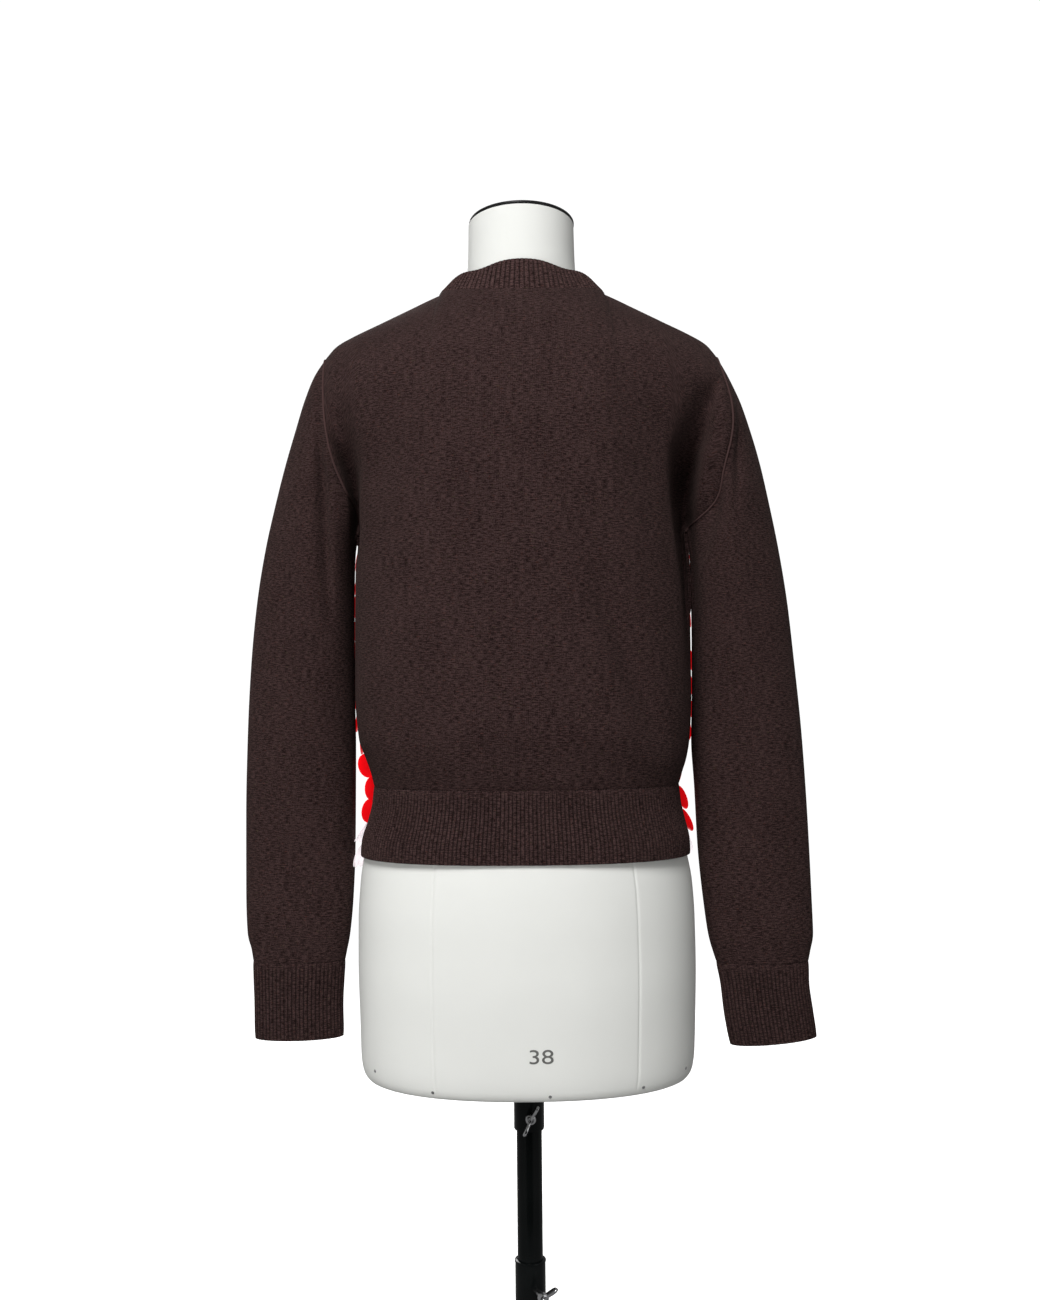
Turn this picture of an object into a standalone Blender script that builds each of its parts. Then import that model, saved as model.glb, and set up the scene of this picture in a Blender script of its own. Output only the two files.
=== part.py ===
"""A ribbed crew-neck sweater on a dress form that stands on a telescopic pole.

Sizes are in millimetres and become metres when a mesh is made. The origin is on the floor under
the pole, +Z is up, the sweater's front faces -Y and the wearer's left is +X. A point round the
body is named by its turn in degrees: 0 at the centre back, 90 at the left side, 180 at the
centre front and 270 at the right side.
"""

import math

import bmesh
import bpy
import numpy as np
from mathutils import Matrix, Vector

MM = 0.001

# The knit
WALL = 2.2
SEAM_GAP = 0.3
RIB_RELIEF = 0.6
HEM_RIBS = 230
CUFF_RIBS = 54
NECK_RIBS = 105
UNDERARM = 1180.0
BODY_ROUNDNESS = 2.45
FORM_ROUNDNESS = 2.25

# How finely each piece is divided
PANEL_COLUMNS = 22
LOWER_ROWS = 6
ARMHOLE_ROWS = 9
SLEEVE_RINGS = 17
SLEEVE_SPLIT = 8
CUFF_ROWS = 3
HEM_HEIGHTS = (862.5, 885.0, 929.7)

# Rings of the body's outer face from the hem ribbing to the underarm: the half widths on the
# wearer's left and right, and the depths behind and in front of the pole's axis.
BODY_COLUMNS = ("height", "left", "right", "back", "front")
BODY = [
    (930.0, 147.5, 148.5, 108.0, 108.5),
    (941.0, 151.5, 153.0, 114.5, 116.0),
    (956.0, 158.0, 158.8, 120.5, 124.5),
    (976.0, 165.0, 162.0, 124.5, 131.0),
    (1020.0, 168.4, 164.4, 126.5, 136.5),
    (1080.0, 168.4, 165.0, 127.0, 141.0),
    (1135.0, 167.6, 164.6, 127.0, 143.5),
    (1180.0, 165.4, 161.5, 126.5, 144.0),
]

# The hem ribbing, from its lower edge to the seam with the body.
HEM = [
    (862.5, 164.0, 161.4, 118.4, 108.4),
    (878.0, 162.0, 160.2, 116.6, 107.2),
    (896.0, 156.2, 156.0, 112.6, 105.6),
    (915.0, 149.8, 150.4, 108.6, 105.4),
    (929.7, 147.5, 148.5, 108.0, 108.5),
]

# The shoulder seam and the neckline, which the neck ribbing starts from.
SHOULDER_COLUMNS = ("reach", "height")
SHOULDER = [
    (83.0, 1420.6),
    (95.0, 1415.2),
    (110.0, 1408.0),
    (140.0, 1393.8),
    (170.0, 1379.2),
    (186.0, 1369.6),
    (198.0, 1356.0),
]
NECK_SHARE = 4.0 / 11.0
NECK_BASE = dict(side=83.0, back=69.0, front=88.0, side_z=1420.6, back_z=1408.0, front_z=1364.0)
NECK_TOP = dict(side=65.5, back=58.5, front=73.0, side_z=1441.5, back_z=1440.5, front_z=1391.0)

# How soon the body leans in towards the shoulder line above the underarm.
BACK_LEAN = 3.2
FRONT_LEAN = 2.3
SHOULDER_LEAN = 6.5
ARMHOLE_SPREAD = 3.0
UNDERARM_SPREAD = 14.0

# Sleeve rings from the armhole to the cuff. Outer and inner are the ring's two edges as seen
# from behind, bow swings its back and front outwards, and centre is its middle along Y.
SLEEVE_COLUMNS = ("outer_x", "outer_z", "inner_x", "inner_z", "half_depth", "bow", "centre")
LEFT_SLEEVE = [
    (197.5, 1356.0, 166.0, 1180.0, 56.0, 13.0, 0.0),
    (208.3, 1339.0, 168.4, 1171.0, 57.0, 9.5, 0.0),
    (218.0, 1315.5, 170.0, 1156.0, 56.5, 6.0, 0.0),
    (227.8, 1284.0, 170.4, 1136.0, 55.0, 3.0, 0.0),
    (238.2, 1249.0, 170.6, 1112.0, 53.0, 0.0, 0.0),
    (248.8, 1208.0, 170.6, 1083.0, 50.0, 0.0, 0.0),
    (259.0, 1164.0, 170.5, 1050.0, 46.5, 0.0, -1.0),
    (267.6, 1112.0, 170.4, 1012.0, 43.0, 0.0, -1.5),
    (273.6, 1053.0, 169.8, 971.0, 39.0, 0.0, -2.0),
    (277.4, 984.0, 170.1, 926.0, 35.0, 0.0, -2.0),
    (279.5, 902.0, 170.8, 868.0, 30.5, 0.0, -2.0),
    (279.7, 825.0, 173.2, 815.0, 27.0, 0.0, -2.0),
    (278.4, 784.0, 176.8, 780.0, 24.5, 0.0, -2.0),
    (274.6, 768.0, 179.6, 766.0, 22.0, 0.0, -2.0),
    (272.9, 757.0, 181.4, 757.0, 20.5, 0.0, -2.0),
]
RIGHT_SLEEVE = [
    (194.5, 1355.0, 161.5, 1180.0, 56.0, 16.0, 0.0),
    (204.0, 1338.0, 164.0, 1171.0, 57.0, 12.0, 0.0),
    (216.0, 1313.0, 166.0, 1156.0, 56.5, 7.5, 0.0),
    (226.7, 1282.0, 167.0, 1136.0, 55.0, 3.5, 0.0),
    (236.6, 1247.0, 167.2, 1112.0, 53.0, 1.0, 0.0),
    (246.0, 1204.0, 167.2, 1083.0, 50.0, 0.0, 0.0),
    (254.7, 1160.0, 167.0, 1050.0, 46.5, 0.0, -1.0),
    (262.7, 1108.0, 166.6, 1012.0, 43.0, 0.0, -1.5),
    (269.0, 1048.0, 165.4, 971.0, 39.0, 0.0, -2.0),
    (275.2, 980.0, 167.8, 926.0, 35.0, 0.0, -2.0),
    (280.0, 898.0, 170.4, 866.0, 30.5, 0.0, -2.0),
    (283.0, 820.0, 175.4, 812.0, 27.0, 0.0, -2.0),
    (284.2, 780.0, 180.2, 777.0, 24.5, 0.0, -2.0),
    (281.2, 762.0, 184.2, 762.0, 22.0, 0.0, -2.0),
    (279.2, 752.0, 187.4, 752.0, 20.5, 0.0, -2.0),
]
LEFT_CUFF = [
    (272.9, 756.7, 181.4, 756.7, 20.5, 0.0, -2.0),
    (272.4, 738.0, 182.8, 738.0, 20.0, 0.0, -2.0),
    (271.6, 711.0, 184.0, 712.0, 20.5, 0.0, -2.0),
    (271.4, 680.5, 183.3, 682.0, 21.0, 0.0, -2.0),
]
RIGHT_CUFF = [
    (279.2, 751.7, 187.4, 751.7, 20.5, 0.0, -2.0),
    (279.2, 732.0, 191.6, 731.0, 20.0, 0.0, -2.0),
    (282.4, 705.0, 194.8, 702.0, 20.5, 0.0, -2.0),
    (286.4, 677.5, 200.2, 670.0, 21.0, 0.0, -2.0),
]

# The largest folds, as soft troughs between two places (x, z) on a piece's back or front.
FOLD_COLUMNS = ("piece", "from_x", "from_z", "to_x", "to_z", "half_width", "depth")
FOLDS = [
    ("back", -52.0, 1165.0, -134.0, 948.0, 17.0, 6.0),
    ("back", -128.0, 1300.0, -136.0, 1060.0, 26.0, 4.0),
    ("back", 138.0, 1290.0, 144.0, 1080.0, 24.0, 3.5),
    ("back", 176.0, 1300.0, 162.0, 1215.0, 12.0, 7.0),
    ("back", -186.0, 1290.0, -160.0, 1200.0, 13.0, 9.0),
    ("back", -159.0, 1235.0, -161.0, 1010.0, 9.0, 12.0),
    ("back", 84.0, 966.0, -96.0, 962.0, 15.0, 3.5),
    ("front", 52.0, 1150.0, 128.0, 958.0, 20.0, 5.0),
    ("front", -46.0, 1120.0, -122.0, 962.0, 20.0, 5.0),
    ("front", 172.0, 1300.0, 160.0, 1210.0, 13.0, 7.0),
    ("front", -170.0, 1300.0, -154.0, 1200.0, 14.0, 8.0),
    ("left_sleeve", 203.0, 1310.0, 193.0, 1105.0, 12.0, 6.0),
    ("right_sleeve", -211.0, 1290.0, -206.0, 1215.0, 10.0, 5.0),
]

# The dress form: rings from its flat bottom up over the shoulders to the neck.
FORM_SIDES = 32
FORM = [
    (644.5, 152.0, 150.5, 103.0, 96.0),
    (646.5, 158.0, 156.8, 108.5, 100.5),
    (654.0, 162.8, 161.4, 112.4, 103.6),
    (668.0, 164.8, 163.4, 114.4, 105.4),
    (700.0, 165.6, 164.6, 116.6, 107.0),
    (755.0, 167.0, 165.8, 119.6, 108.6),
    (800.0, 166.8, 165.2, 119.8, 108.0),
    (835.0, 164.6, 163.0, 118.0, 106.2),
    (863.0, 160.6, 157.9, 114.9, 104.9),
    (896.0, 151.0, 150.4, 107.6, 100.0),
    (930.0, 141.0, 141.0, 100.0, 95.0),
    (970.0, 129.0, 128.0, 90.5, 90.5),
    (1010.0, 121.0, 120.0, 84.5, 89.5),
    (1060.0, 125.0, 124.0, 87.0, 97.0),
    (1110.0, 134.0, 133.0, 95.0, 113.0),
    (1160.0, 142.0, 141.0, 102.0, 128.0),
    (1190.0, 145.5, 144.0, 105.0, 130.0),
    (1235.0, 150.0, 148.0, 107.0, 124.0),
    (1285.0, 157.0, 155.0, 106.0, 108.0),
    (1325.0, 167.0, 165.0, 100.0, 92.0),
    (1346.0, 171.0, 169.0, 93.0, 84.0),
    (1360.0, 167.0, 165.0, 86.0, 79.0),
    (1373.0, 149.0, 147.0, 76.0, 71.0),
    (1387.0, 119.0, 118.0, 67.0, 63.0),
    (1400.0, 89.0, 89.0, 60.5, 58.5),
    (1414.0, 66.5, 66.5, 57.0, 57.0),
    (1430.0, 56.5, 56.5, 54.0, 55.0),
    (1450.0, 54.2, 53.6, 53.0, 53.5),
    (1489.6, 53.2, 52.6, 52.6, 52.9),
]
FORM_BOTTOM = FORM[0][0]
NECK_CAP_RADIUS = 53.0
NECK_CAP_TOP = 1493.2
NECK_TILT = 0.12

# The stand
ROUND_SIDES = 24
BASE_RADIUS = 200.0
BASE_THICKNESS = 8.0
BASE_EDGE = 2.0
HUB_TOP = 34.0
TUBE_SEAT = 12.0
TUBE_RADIUS = 15.0
TUBE_BORE = 12.9
TUBE_TOP = 462.0
TUBE_RIM = 0.5
POLE_RADIUS = 12.5
POLE_BOTTOM = 165.0
POLE_TOP = 637.0
SOCKET_BOTTOM = 589.0
SOCKET_ROOF = 637.3
SCREW_SHAFT_RADIUS = 2.9
SCREW_HOLE_RADIUS = 3.2
SCREW_HUB_RADIUS = 5.0
SCREW_HUB_LENGTH = 7.0
WING_REACH = 16.0
WING_THICKNESS = 2.6
UPPER_SCREW = dict(height=604.0, bearing=4.0, lean=-27.0, standoff=2.5)
LOWER_SCREW = dict(height=437.0, bearing=20.0, lean=-50.0, standoff=17.0)

SHADES = {
    "knit": ((0.040, 0.022, 0.020), 0.95, 0.0),
    "rib_knit": ((0.034, 0.019, 0.017), 0.95, 0.0),
    "form_cloth": ((0.76, 0.77, 0.74), 0.90, 0.0),
    "black_edge": ((0.010, 0.010, 0.010), 0.35, 0.0),
    "black_metal": ((0.008, 0.009, 0.009), 0.25, 0.0),
    "screw_metal": ((0.60, 0.60, 0.61), 0.22, 1.0),
}


def clear_scene():
    for thing in list(bpy.data.objects):
        bpy.data.objects.remove(thing, do_unlink=True)


def material(name):
    """One Principled material from the table of shades, made once."""
    found = bpy.data.materials.get(name)
    if found:
        return found
    colour, roughness, metallic = SHADES[name]
    made = bpy.data.materials.new(name)
    made.use_nodes = True
    shader = made.node_tree.nodes["Principled BSDF"]
    shader.inputs["Base Color"].default_value = (*colour, 1.0)
    shader.inputs["Roughness"].default_value = roughness
    shader.inputs["Metallic"].default_value = metallic
    return made


def finish_object(name, shape, finish, sharp=40.0):
    """Turns a bmesh into a closed, outward-facing, smooth-shaded object in the scene."""
    bmesh.ops.recalc_face_normals(shape, faces=shape.faces)
    if shape.calc_volume(signed=True) < 0:
        bmesh.ops.reverse_faces(shape, faces=shape.faces)
    mesh = bpy.data.meshes.new(name)
    shape.to_mesh(mesh)
    shape.free()
    mesh.shade_smooth()
    mesh.set_sharp_from_angle(angle=math.radians(sharp))
    mesh.materials.append(material(finish))
    made = bpy.data.objects.new(name, mesh)
    bpy.context.scene.collection.objects.link(made)
    return made


# ---------------------------------------------------------------- curves through the tables


def smooth(places, values, at):
    """A curve through (place, value) pairs that never swings past them."""
    places = np.asarray(places, float)
    values = np.asarray(values, float)
    at = np.clip(np.asarray(at, float), places[0], places[-1])
    step = np.diff(places)
    rise = np.diff(values) / step
    slope = np.zeros(len(places))
    slope[0], slope[-1] = rise[0], rise[-1]
    for i in range(1, len(places) - 1):
        if rise[i - 1] * rise[i] > 0:
            slope[i] = 2.0 * rise[i - 1] * rise[i] / (rise[i - 1] + rise[i])
    k = np.clip(np.searchsorted(places, at, side="right") - 1, 0, len(step) - 1)
    t = (at - places[k]) / step[k]
    start = values[k] * (1 + 2 * t) * (1 - t) ** 2 + slope[k] * step[k] * t * (1 - t) ** 2
    end = values[k + 1] * t**2 * (3 - 2 * t) - slope[k + 1] * step[k] * t**2 * (1 - t)
    return start + end


def read(table, columns, name, at, along=None):
    """A named column of a table, read at a place along another column or along the row number."""
    rows = np.array(table, float)
    places = np.arange(len(rows)) if along is None else rows[:, columns.index(along)]
    return smooth(places, rows[:, columns.index(name)], at)


def power(value, exponent):
    """Keeps the sign of a sine or cosine while its size is raised to a power."""
    return np.sign(value) * np.abs(value) ** exponent


def ring(table, height, turn, roundness=BODY_ROUNDNESS):
    """Points of a ring whose four half sizes come from a table, at these turns."""
    across = np.sin(np.radians(turn))
    along = np.cos(np.radians(turn))
    half = np.where(
        across >= 0,
        read(table, BODY_COLUMNS, "left", height, "height"),
        read(table, BODY_COLUMNS, "right", height, "height"),
    )
    depth = np.where(
        along >= 0,
        read(table, BODY_COLUMNS, "back", height, "height"),
        read(table, BODY_COLUMNS, "front", height, "height"),
    )
    x = half * power(across, 2 / roundness)
    y = depth * power(along, 2 / roundness)
    return np.stack([x, y, np.broadcast_to(np.asarray(height, float), x.shape)], axis=-1)


def neck_loop(size, turn):
    """The neckline or the neck ribbing's top edge, round the neck."""
    across = np.sin(np.radians(turn))
    along = np.cos(np.radians(turn))
    behind = along >= 0
    depth = np.where(behind, size["back"], size["front"])
    end_z = np.where(behind, size["back_z"], size["front_z"])
    fall = np.abs(along) ** 1.7
    z = size["side_z"] + (end_z - size["side_z"]) * fall
    return np.stack([size["side"] * across, depth * along, z], axis=-1)


def sleeve_ring(table, side, row, turn):
    """A ring of a sleeve or cuff. side is 1 on the left and -1 on the right, and a turn of 0 is
    at the outer edge, 90 at the back, 180 at the inner edge and 270 at the front."""
    size = {name: read(table, SLEEVE_COLUMNS, name, row) for name in SLEEVE_COLUMNS}
    cosine = np.cos(np.radians(turn))
    sine = np.sin(np.radians(turn))
    middle_x = (size["outer_x"] + size["inner_x"]) / 2
    middle_z = (size["outer_z"] + size["inner_z"]) / 2
    x = middle_x + (size["outer_x"] - size["inner_x"]) / 2 * cosine
    x = x + size["bow"] * np.abs(sine) ** 1.3
    z = middle_z + (size["outer_z"] - size["inner_z"]) / 2 * cosine
    y = size["centre"] + size["half_depth"] * sine
    return np.stack([side * x, y, z], axis=-1)


def sleeve_table(side):
    return LEFT_SLEEVE if side > 0 else RIGHT_SLEEVE


# ---------------------------------------------------------------- grids and their normals


def normals_of(grid, closed):
    """Unit normals of a grid of points, from the differences along its rows and columns."""
    up = np.gradient(grid, axis=0)
    if closed:
        across = np.roll(grid, -1, axis=1) - np.roll(grid, 1, axis=1)
    else:
        across = np.gradient(grid, axis=1)
    normal = np.cross(across, up)
    return normal / np.linalg.norm(normal, axis=-1, keepdims=True)


def unit(vector):
    vector = np.asarray(vector, float)
    return vector / np.linalg.norm(vector, axis=-1, keepdims=True)


def pull_back(grid, ends):
    """Moves a grid's first and last row half a seam gap away from its neighbours."""
    grid = grid.copy()
    if "first" in ends:
        grid[0] += unit(grid[1] - grid[0]) * SEAM_GAP / 2
    if "last" in ends:
        grid[-1] += unit(grid[-2] - grid[-1]) * SEAM_GAP / 2
    return grid


def fold(points, piece, facing):
    """Presses the piece's folds into points on its back (facing 1) or front (facing -1)."""
    pressed = np.zeros(points.shape[:-1])
    for name, from_x, from_z, to_x, to_z, half_width, depth in FOLDS:
        if name != piece:
            continue
        start = np.array([from_x, from_z])
        run = np.array([to_x - from_x, to_z - from_z])
        offset = points[..., [0, 2]] - start
        share = np.clip(offset @ run / (run @ run), 0, 1)
        away = np.linalg.norm(offset - share[..., None] * run, axis=-1)
        taper = np.sin(np.pi * np.clip(share, 0.02, 0.98)) ** 0.7
        pressed += depth * taper * np.exp(-((away / half_width) ** 2))
    points = points.copy()
    points[..., 1] -= facing * pressed
    return points


# ---------------------------------------------------------------- solids


def zip_rims(shape, many, few, closed):
    """Joins an outer edge to an inner edge that has every second, fifth or tenth of its points."""
    each = len(many) // len(few) if closed else (len(many) - 1) // max(len(few) - 1, 1)
    spans = len(few) if closed else len(few) - 1
    for j in range(spans):
        here, following = few[j], few[(j + 1) % len(few)]
        for i in range(each):
            a = many[j * each + i]
            b = many[(j * each + i + 1) % len(many)]
            shape.faces.new((a, b, here if i < (each + 1) // 2 else following))
        turning = many[(j * each + (each + 1) // 2) % len(many)]
        shape.faces.new((turning, following, here))


def fill_grid(shape, verts, closed):
    columns = len(verts[0])
    for lower, upper in zip(verts, verts[1:]):
        for j in range(columns if closed else columns - 1):
            k = (j + 1) % columns
            shape.faces.new((lower[j], lower[k], upper[k], upper[j]))


def wall_solid(name, outer, inner, closed, finish):
    """One closed wall between an outer and an inner grid, which may have fewer columns."""
    shape = bmesh.new()
    out = [[shape.verts.new(point * MM) for point in row] for row in outer]
    inn = [[shape.verts.new(point * MM) for point in row] for row in inner]
    fill_grid(shape, out, closed)
    fill_grid(shape, inn, closed)
    zip_rims(shape, out[0], inn[0], closed)
    zip_rims(shape, out[-1], inn[-1], closed)
    if not closed:
        for side in (0, -1):
            zip_rims(shape, [row[side] for row in out], [row[side] for row in inn], False)
    return finish_object(name, shape, finish)


def ribbed_ring(name, rows, loop, ribs, each, finish, level=False):
    """A ring of ribbing: two outer points a rib over a plain inside with fewer points. loop(row,
    turn) gives the middle of the ribbing's outer face, and the ribs are evenly spaced round it. A
    level one ends in a flat face."""
    count = 2 * ribs
    fine = np.linspace(0, 360, 721)
    path = loop(rows[len(rows) // 2], fine)
    length = np.concatenate([[0], np.cumsum(np.linalg.norm(np.diff(path, axis=0), axis=1))])
    turns = np.interp(np.arange(count) / count * length[-1], length, fine)
    middle = np.array([loop(row, turns) for row in rows])
    normal = normals_of(middle, True)
    if level:
        normal[-1, :, 2] = 0.0
        normal = unit(normal)
    relief = np.where(np.arange(count) % 2 == 0, 0.5, -0.5) * RIB_RELIEF
    outer = middle + normal * relief[None, :, None]
    inner = (middle - normal * (WALL + RIB_RELIEF / 2))[:, ::each]
    return wall_solid(name, outer, inner, True, finish)


def lofted(name, rings, finish):
    """A solid through closed rings, with a flat face at each end."""
    shape = bmesh.new()
    verts = [[shape.verts.new(point * MM) for point in row] for row in rings]
    fill_grid(shape, verts, True)
    shape.faces.new(verts[0])
    shape.faces.new(verts[-1])
    return finish_object(name, shape, finish)


def turned(name, profile, finish, hollow=False, sides=ROUND_SIDES):
    """A turned solid about Z from (radius, height) points. A hollow one's profile is a loop."""
    angles = np.radians(np.arange(sides) * 360 / sides)
    rings = [
        np.stack([r * np.cos(angles), r * np.sin(angles), np.full(sides, z)], axis=-1)
        for r, z in profile
    ]
    if not hollow:
        return lofted(name, rings, finish)
    shape = bmesh.new()
    verts = [[shape.verts.new(point * MM) for point in row] for row in rings]
    fill_grid(shape, verts + [verts[0]], True)
    return finish_object(name, shape, finish)


def cutter_of(thing):
    """Hides a helper that only a Boolean uses."""
    thing.hide_render = True
    thing.display_type = "WIRE"
    return thing


def combine(thing, other, operation):
    """Adds or cuts another solid with a Boolean modifier."""
    step = thing.modifiers.new(operation.title(), "BOOLEAN")
    step.operation = operation
    step.object = cutter_of(other)
    step.solver = "EXACT"


# ---------------------------------------------------------------- the sweater's pieces


def armhole_shares():
    """Shares of the armhole's height, closer together near its two ends."""
    return (1 - np.cos(np.linspace(0, np.pi, ARMHOLE_ROWS + 1))) / 2


def panel_grid(facing, columns, lower_rows, shares):
    """The outer face of the back (facing 1) or the front (facing -1), rows from hem to shoulder
    and columns from the wearer's right to the left."""
    across = np.linspace(-1, 1, columns + 1)
    turn = 90 * across if facing > 0 else 180 - 90 * across
    heights = BODY[0][0] + (UNDERARM - BODY[0][0]) * np.linspace(0, 1, lower_rows + 1) ** 1.5
    lower = np.array([ring(BODY, height, turn) for height in heights])
    share = np.clip((np.abs(across) - NECK_SHARE) / (1 - NECK_SHARE), 0, 1)
    reach = NECK_BASE["side"] + share * (SHOULDER[-1][0] - NECK_BASE["side"])
    tip = np.where(across > 0, LEFT_SLEEVE[0][0], RIGHT_SLEEVE[0][0])
    scale = 1 + (tip / SHOULDER[-1][0] - 1) * share
    tip_drop = np.where(across > 0, 0.0, RIGHT_SLEEVE[0][1] - LEFT_SLEEVE[0][1]) * share
    seam_z = read(SHOULDER, SHOULDER_COLUMNS, "height", reach, "reach") + tip_drop
    seam = np.stack([np.sign(across) * reach * scale, np.zeros(len(across)), seam_z], axis=-1)
    neck_turn = np.clip(across / NECK_SHARE, -1, 1) * 90
    neck = neck_loop(NECK_BASE, neck_turn if facing > 0 else 180 - neck_turn)
    top = np.where((np.abs(across) <= NECK_SHARE + 1e-6)[:, None], neck, seam)
    base = lower[-1]
    middle_lean = BACK_LEAN if facing > 0 else FRONT_LEAN
    toward = np.clip((np.abs(across) - 0.1) / 0.6, 0, 1)
    lean = middle_lean + (SHOULDER_LEAN - middle_lean) * toward
    upper = []
    for v in shares[1:]:
        weight = np.stack([np.full(len(lean), v), v**lean, np.full(len(lean), v)], axis=-1)
        row = base * (1 - weight) + top * weight
        turn_on = np.degrees(np.arccos(np.clip(2 * v - 1, -1, 1)))
        for side, end in ((1, -1), (-1, 0)):
            edge_turn = turn_on if facing > 0 else 360 - turn_on
            edge = sleeve_ring(sleeve_table(side), side, 0, edge_turn)
            fade = ARMHOLE_SPREAD + UNDERARM_SPREAD * (1 - v) ** 4
            pull = np.clip(across * side, 0, 1) ** fade
            row = row + pull[:, None] * (edge - row[end])
        upper.append(row)
    grid = np.concatenate([lower, np.array(upper)])
    flat = fold(grid, "back" if facing > 0 else "front", facing)
    rows = np.linspace(0, 1, len(grid))[:, None]
    calm = np.clip(6 * (1 - np.abs(across)), 0, 1) * np.clip(8 * rows, 0, 1)
    calm = calm * np.clip(8 * (1 - rows), 0, 1)
    return grid + (flat - grid) * calm[..., None]


def armhole_normal(side, turn, below):
    """Which way the armhole seam faces, shared by the panels and the sleeve but for the underarm,
    where each passes its own direction."""
    cosine = np.cos(np.radians(turn))
    sine = np.sin(np.radians(turn))
    top = np.clip(cosine, 0, 1)[..., None] * np.array([side * 0.5, 0.0, 0.87])
    back = sine[..., None] * np.array([0.0, 1.0, 0.0])
    outward = np.abs(sine)[..., None] * np.array([side * 0.35, 0.0, 0.0])
    bottom = np.clip(-cosine, 0, 1)[..., None] * np.asarray(below, float)
    return unit(top + back + outward + bottom)


def panel_normals(grid, facing, lower_rows, shares):
    """The panel's normals, with those on a seam set so that both pieces' edges stay parallel."""
    normal = normals_of(grid, False) * facing
    across = np.linspace(-1, 1, grid.shape[1])
    for side, end in ((1, -1), (-1, 0)):
        normal[: lower_rows + 1, end] = (side, 0.0, 0.0)
        turn = np.degrees(np.arccos(np.clip(2 * shares - 1, -1, 1)))
        turn = turn if facing > 0 else 360 - turn
        normal[lower_rows:, end] = armhole_normal(side, turn, (side, 0.0, 0.0))
    slope = np.gradient(grid[-1], axis=0)
    over = np.abs(across) >= NECK_SHARE - 1e-6
    ridge = unit(np.stack([-slope[:, 2], np.zeros(len(slope)), slope[:, 0]], axis=-1))
    normal[-1, over] = ridge[over]
    for side, end in ((1, -1), (-1, 0)):
        normal[-1, end] = unit((side * 0.5, 0.0, 0.87))
    flat = normal[0].copy()
    flat[:, 2] = 0
    normal[0] = unit(flat)
    return normal


def panel(name, facing):
    shares = armhole_shares()
    grid = panel_grid(facing, PANEL_COLUMNS, LOWER_ROWS, shares)
    normal = panel_normals(grid, facing, LOWER_ROWS, shares)
    outer = pull_back(grid, ("last",))
    for end, beside in ((0, 1), (-1, -2)):
        outer[:, end] += unit(grid[:, beside] - grid[:, end]) * SEAM_GAP / 2
    return wall_solid(name, outer, outer - normal * WALL, False, "knit")


def sleeve(name, side):
    """A sleeve, as its lower length from the cuff and its upper length to the armhole."""
    table = sleeve_table(side)
    columns = 2 * ARMHOLE_ROWS
    turn = side * np.arange(columns) * 360 / columns
    rows = np.linspace(0, len(table) - 1, SLEEVE_RINGS)[::-1]
    grid = np.array([sleeve_ring(table, side, row, turn) for row in rows])
    facing = np.sign(np.round(np.sin(np.radians(turn)), 6))
    calm = np.clip(4 * (1 - np.abs(np.linspace(-1, 1, len(grid)))), 0, 1)
    for sign in (1, -1):
        pressed = fold(grid, name, sign) - grid
        grid = grid + pressed * (calm[:, None] * (facing == sign)[None, :])[..., None]
    normal = -normals_of(grid, True)
    normal = normal * np.sign((normal * (grid - grid.mean(axis=1, keepdims=True))).sum())
    normal[-1] = armhole_normal(side, turn, (-side * 0.6, 0.0, -0.8))
    level = normal[0].copy()
    level[:, 2] = 0
    normal[0] = unit(level)
    parts = ((name + "_lower", slice(0, SLEEVE_SPLIT + 1), ("last",)),)
    parts += ((name + "_upper", slice(SLEEVE_SPLIT, None), ("first", "last")),)
    for part, rows_of, ends in parts:
        outer = pull_back(grid[rows_of], ends)
        wall_solid(part, outer, outer - normal[rows_of] * WALL, True, "knit")


def cuff(name, side):
    table = LEFT_CUFF if side > 0 else RIGHT_CUFF
    rows = np.linspace(len(table) - 1, 0, CUFF_ROWS)

    def loop(row, turn):
        return sleeve_ring(table, side, row, side * (180 - turn) * -1)

    return ribbed_ring(name, rows, loop, CUFF_RIBS, 6, "rib_knit", level=True)


def hem_rib():
    def loop(height, turn):
        return ring(HEM, height, -turn)

    return ribbed_ring("hem_rib", HEM_HEIGHTS, loop, HEM_RIBS, 10, "rib_knit", level=True)


def neckline(turn):
    """The neckline as the panels cut it, straight between their columns."""
    sides = round(2 * NECK_SHARE * PANEL_COLUMNS)
    corners = np.linspace(0, 360, sides + 1)
    places = neck_loop(NECK_BASE, corners)
    return np.stack([np.interp(np.mod(turn, 360), corners, axis) for axis in places.T], axis=-1)


def neck_rib():
    def loop(share, turn):
        low = neckline(-turn)
        high = neck_loop(NECK_TOP, -turn)
        seam = unit(high - low) * SEAM_GAP / 2
        return low + seam + (high - low - seam) * share

    return ribbed_ring("neck_rib", (0.0, 0.5, 1.0), loop, NECK_RIBS, 5, "rib_knit")


# ---------------------------------------------------------------- the form and the stand


def dress_form():
    turn = -np.arange(FORM_SIDES) * 360 / FORM_SIDES
    rings = []
    for row in FORM:
        roundness = FORM_ROUNDNESS if row[0] < 1400 else 2.0
        rings.append(ring(FORM, row[0], turn, roundness))
    rings[-1][:, 2] += rings[-1][:, 1] * NECK_TILT
    return lofted("dress_form", rings, "form_cloth")


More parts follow.
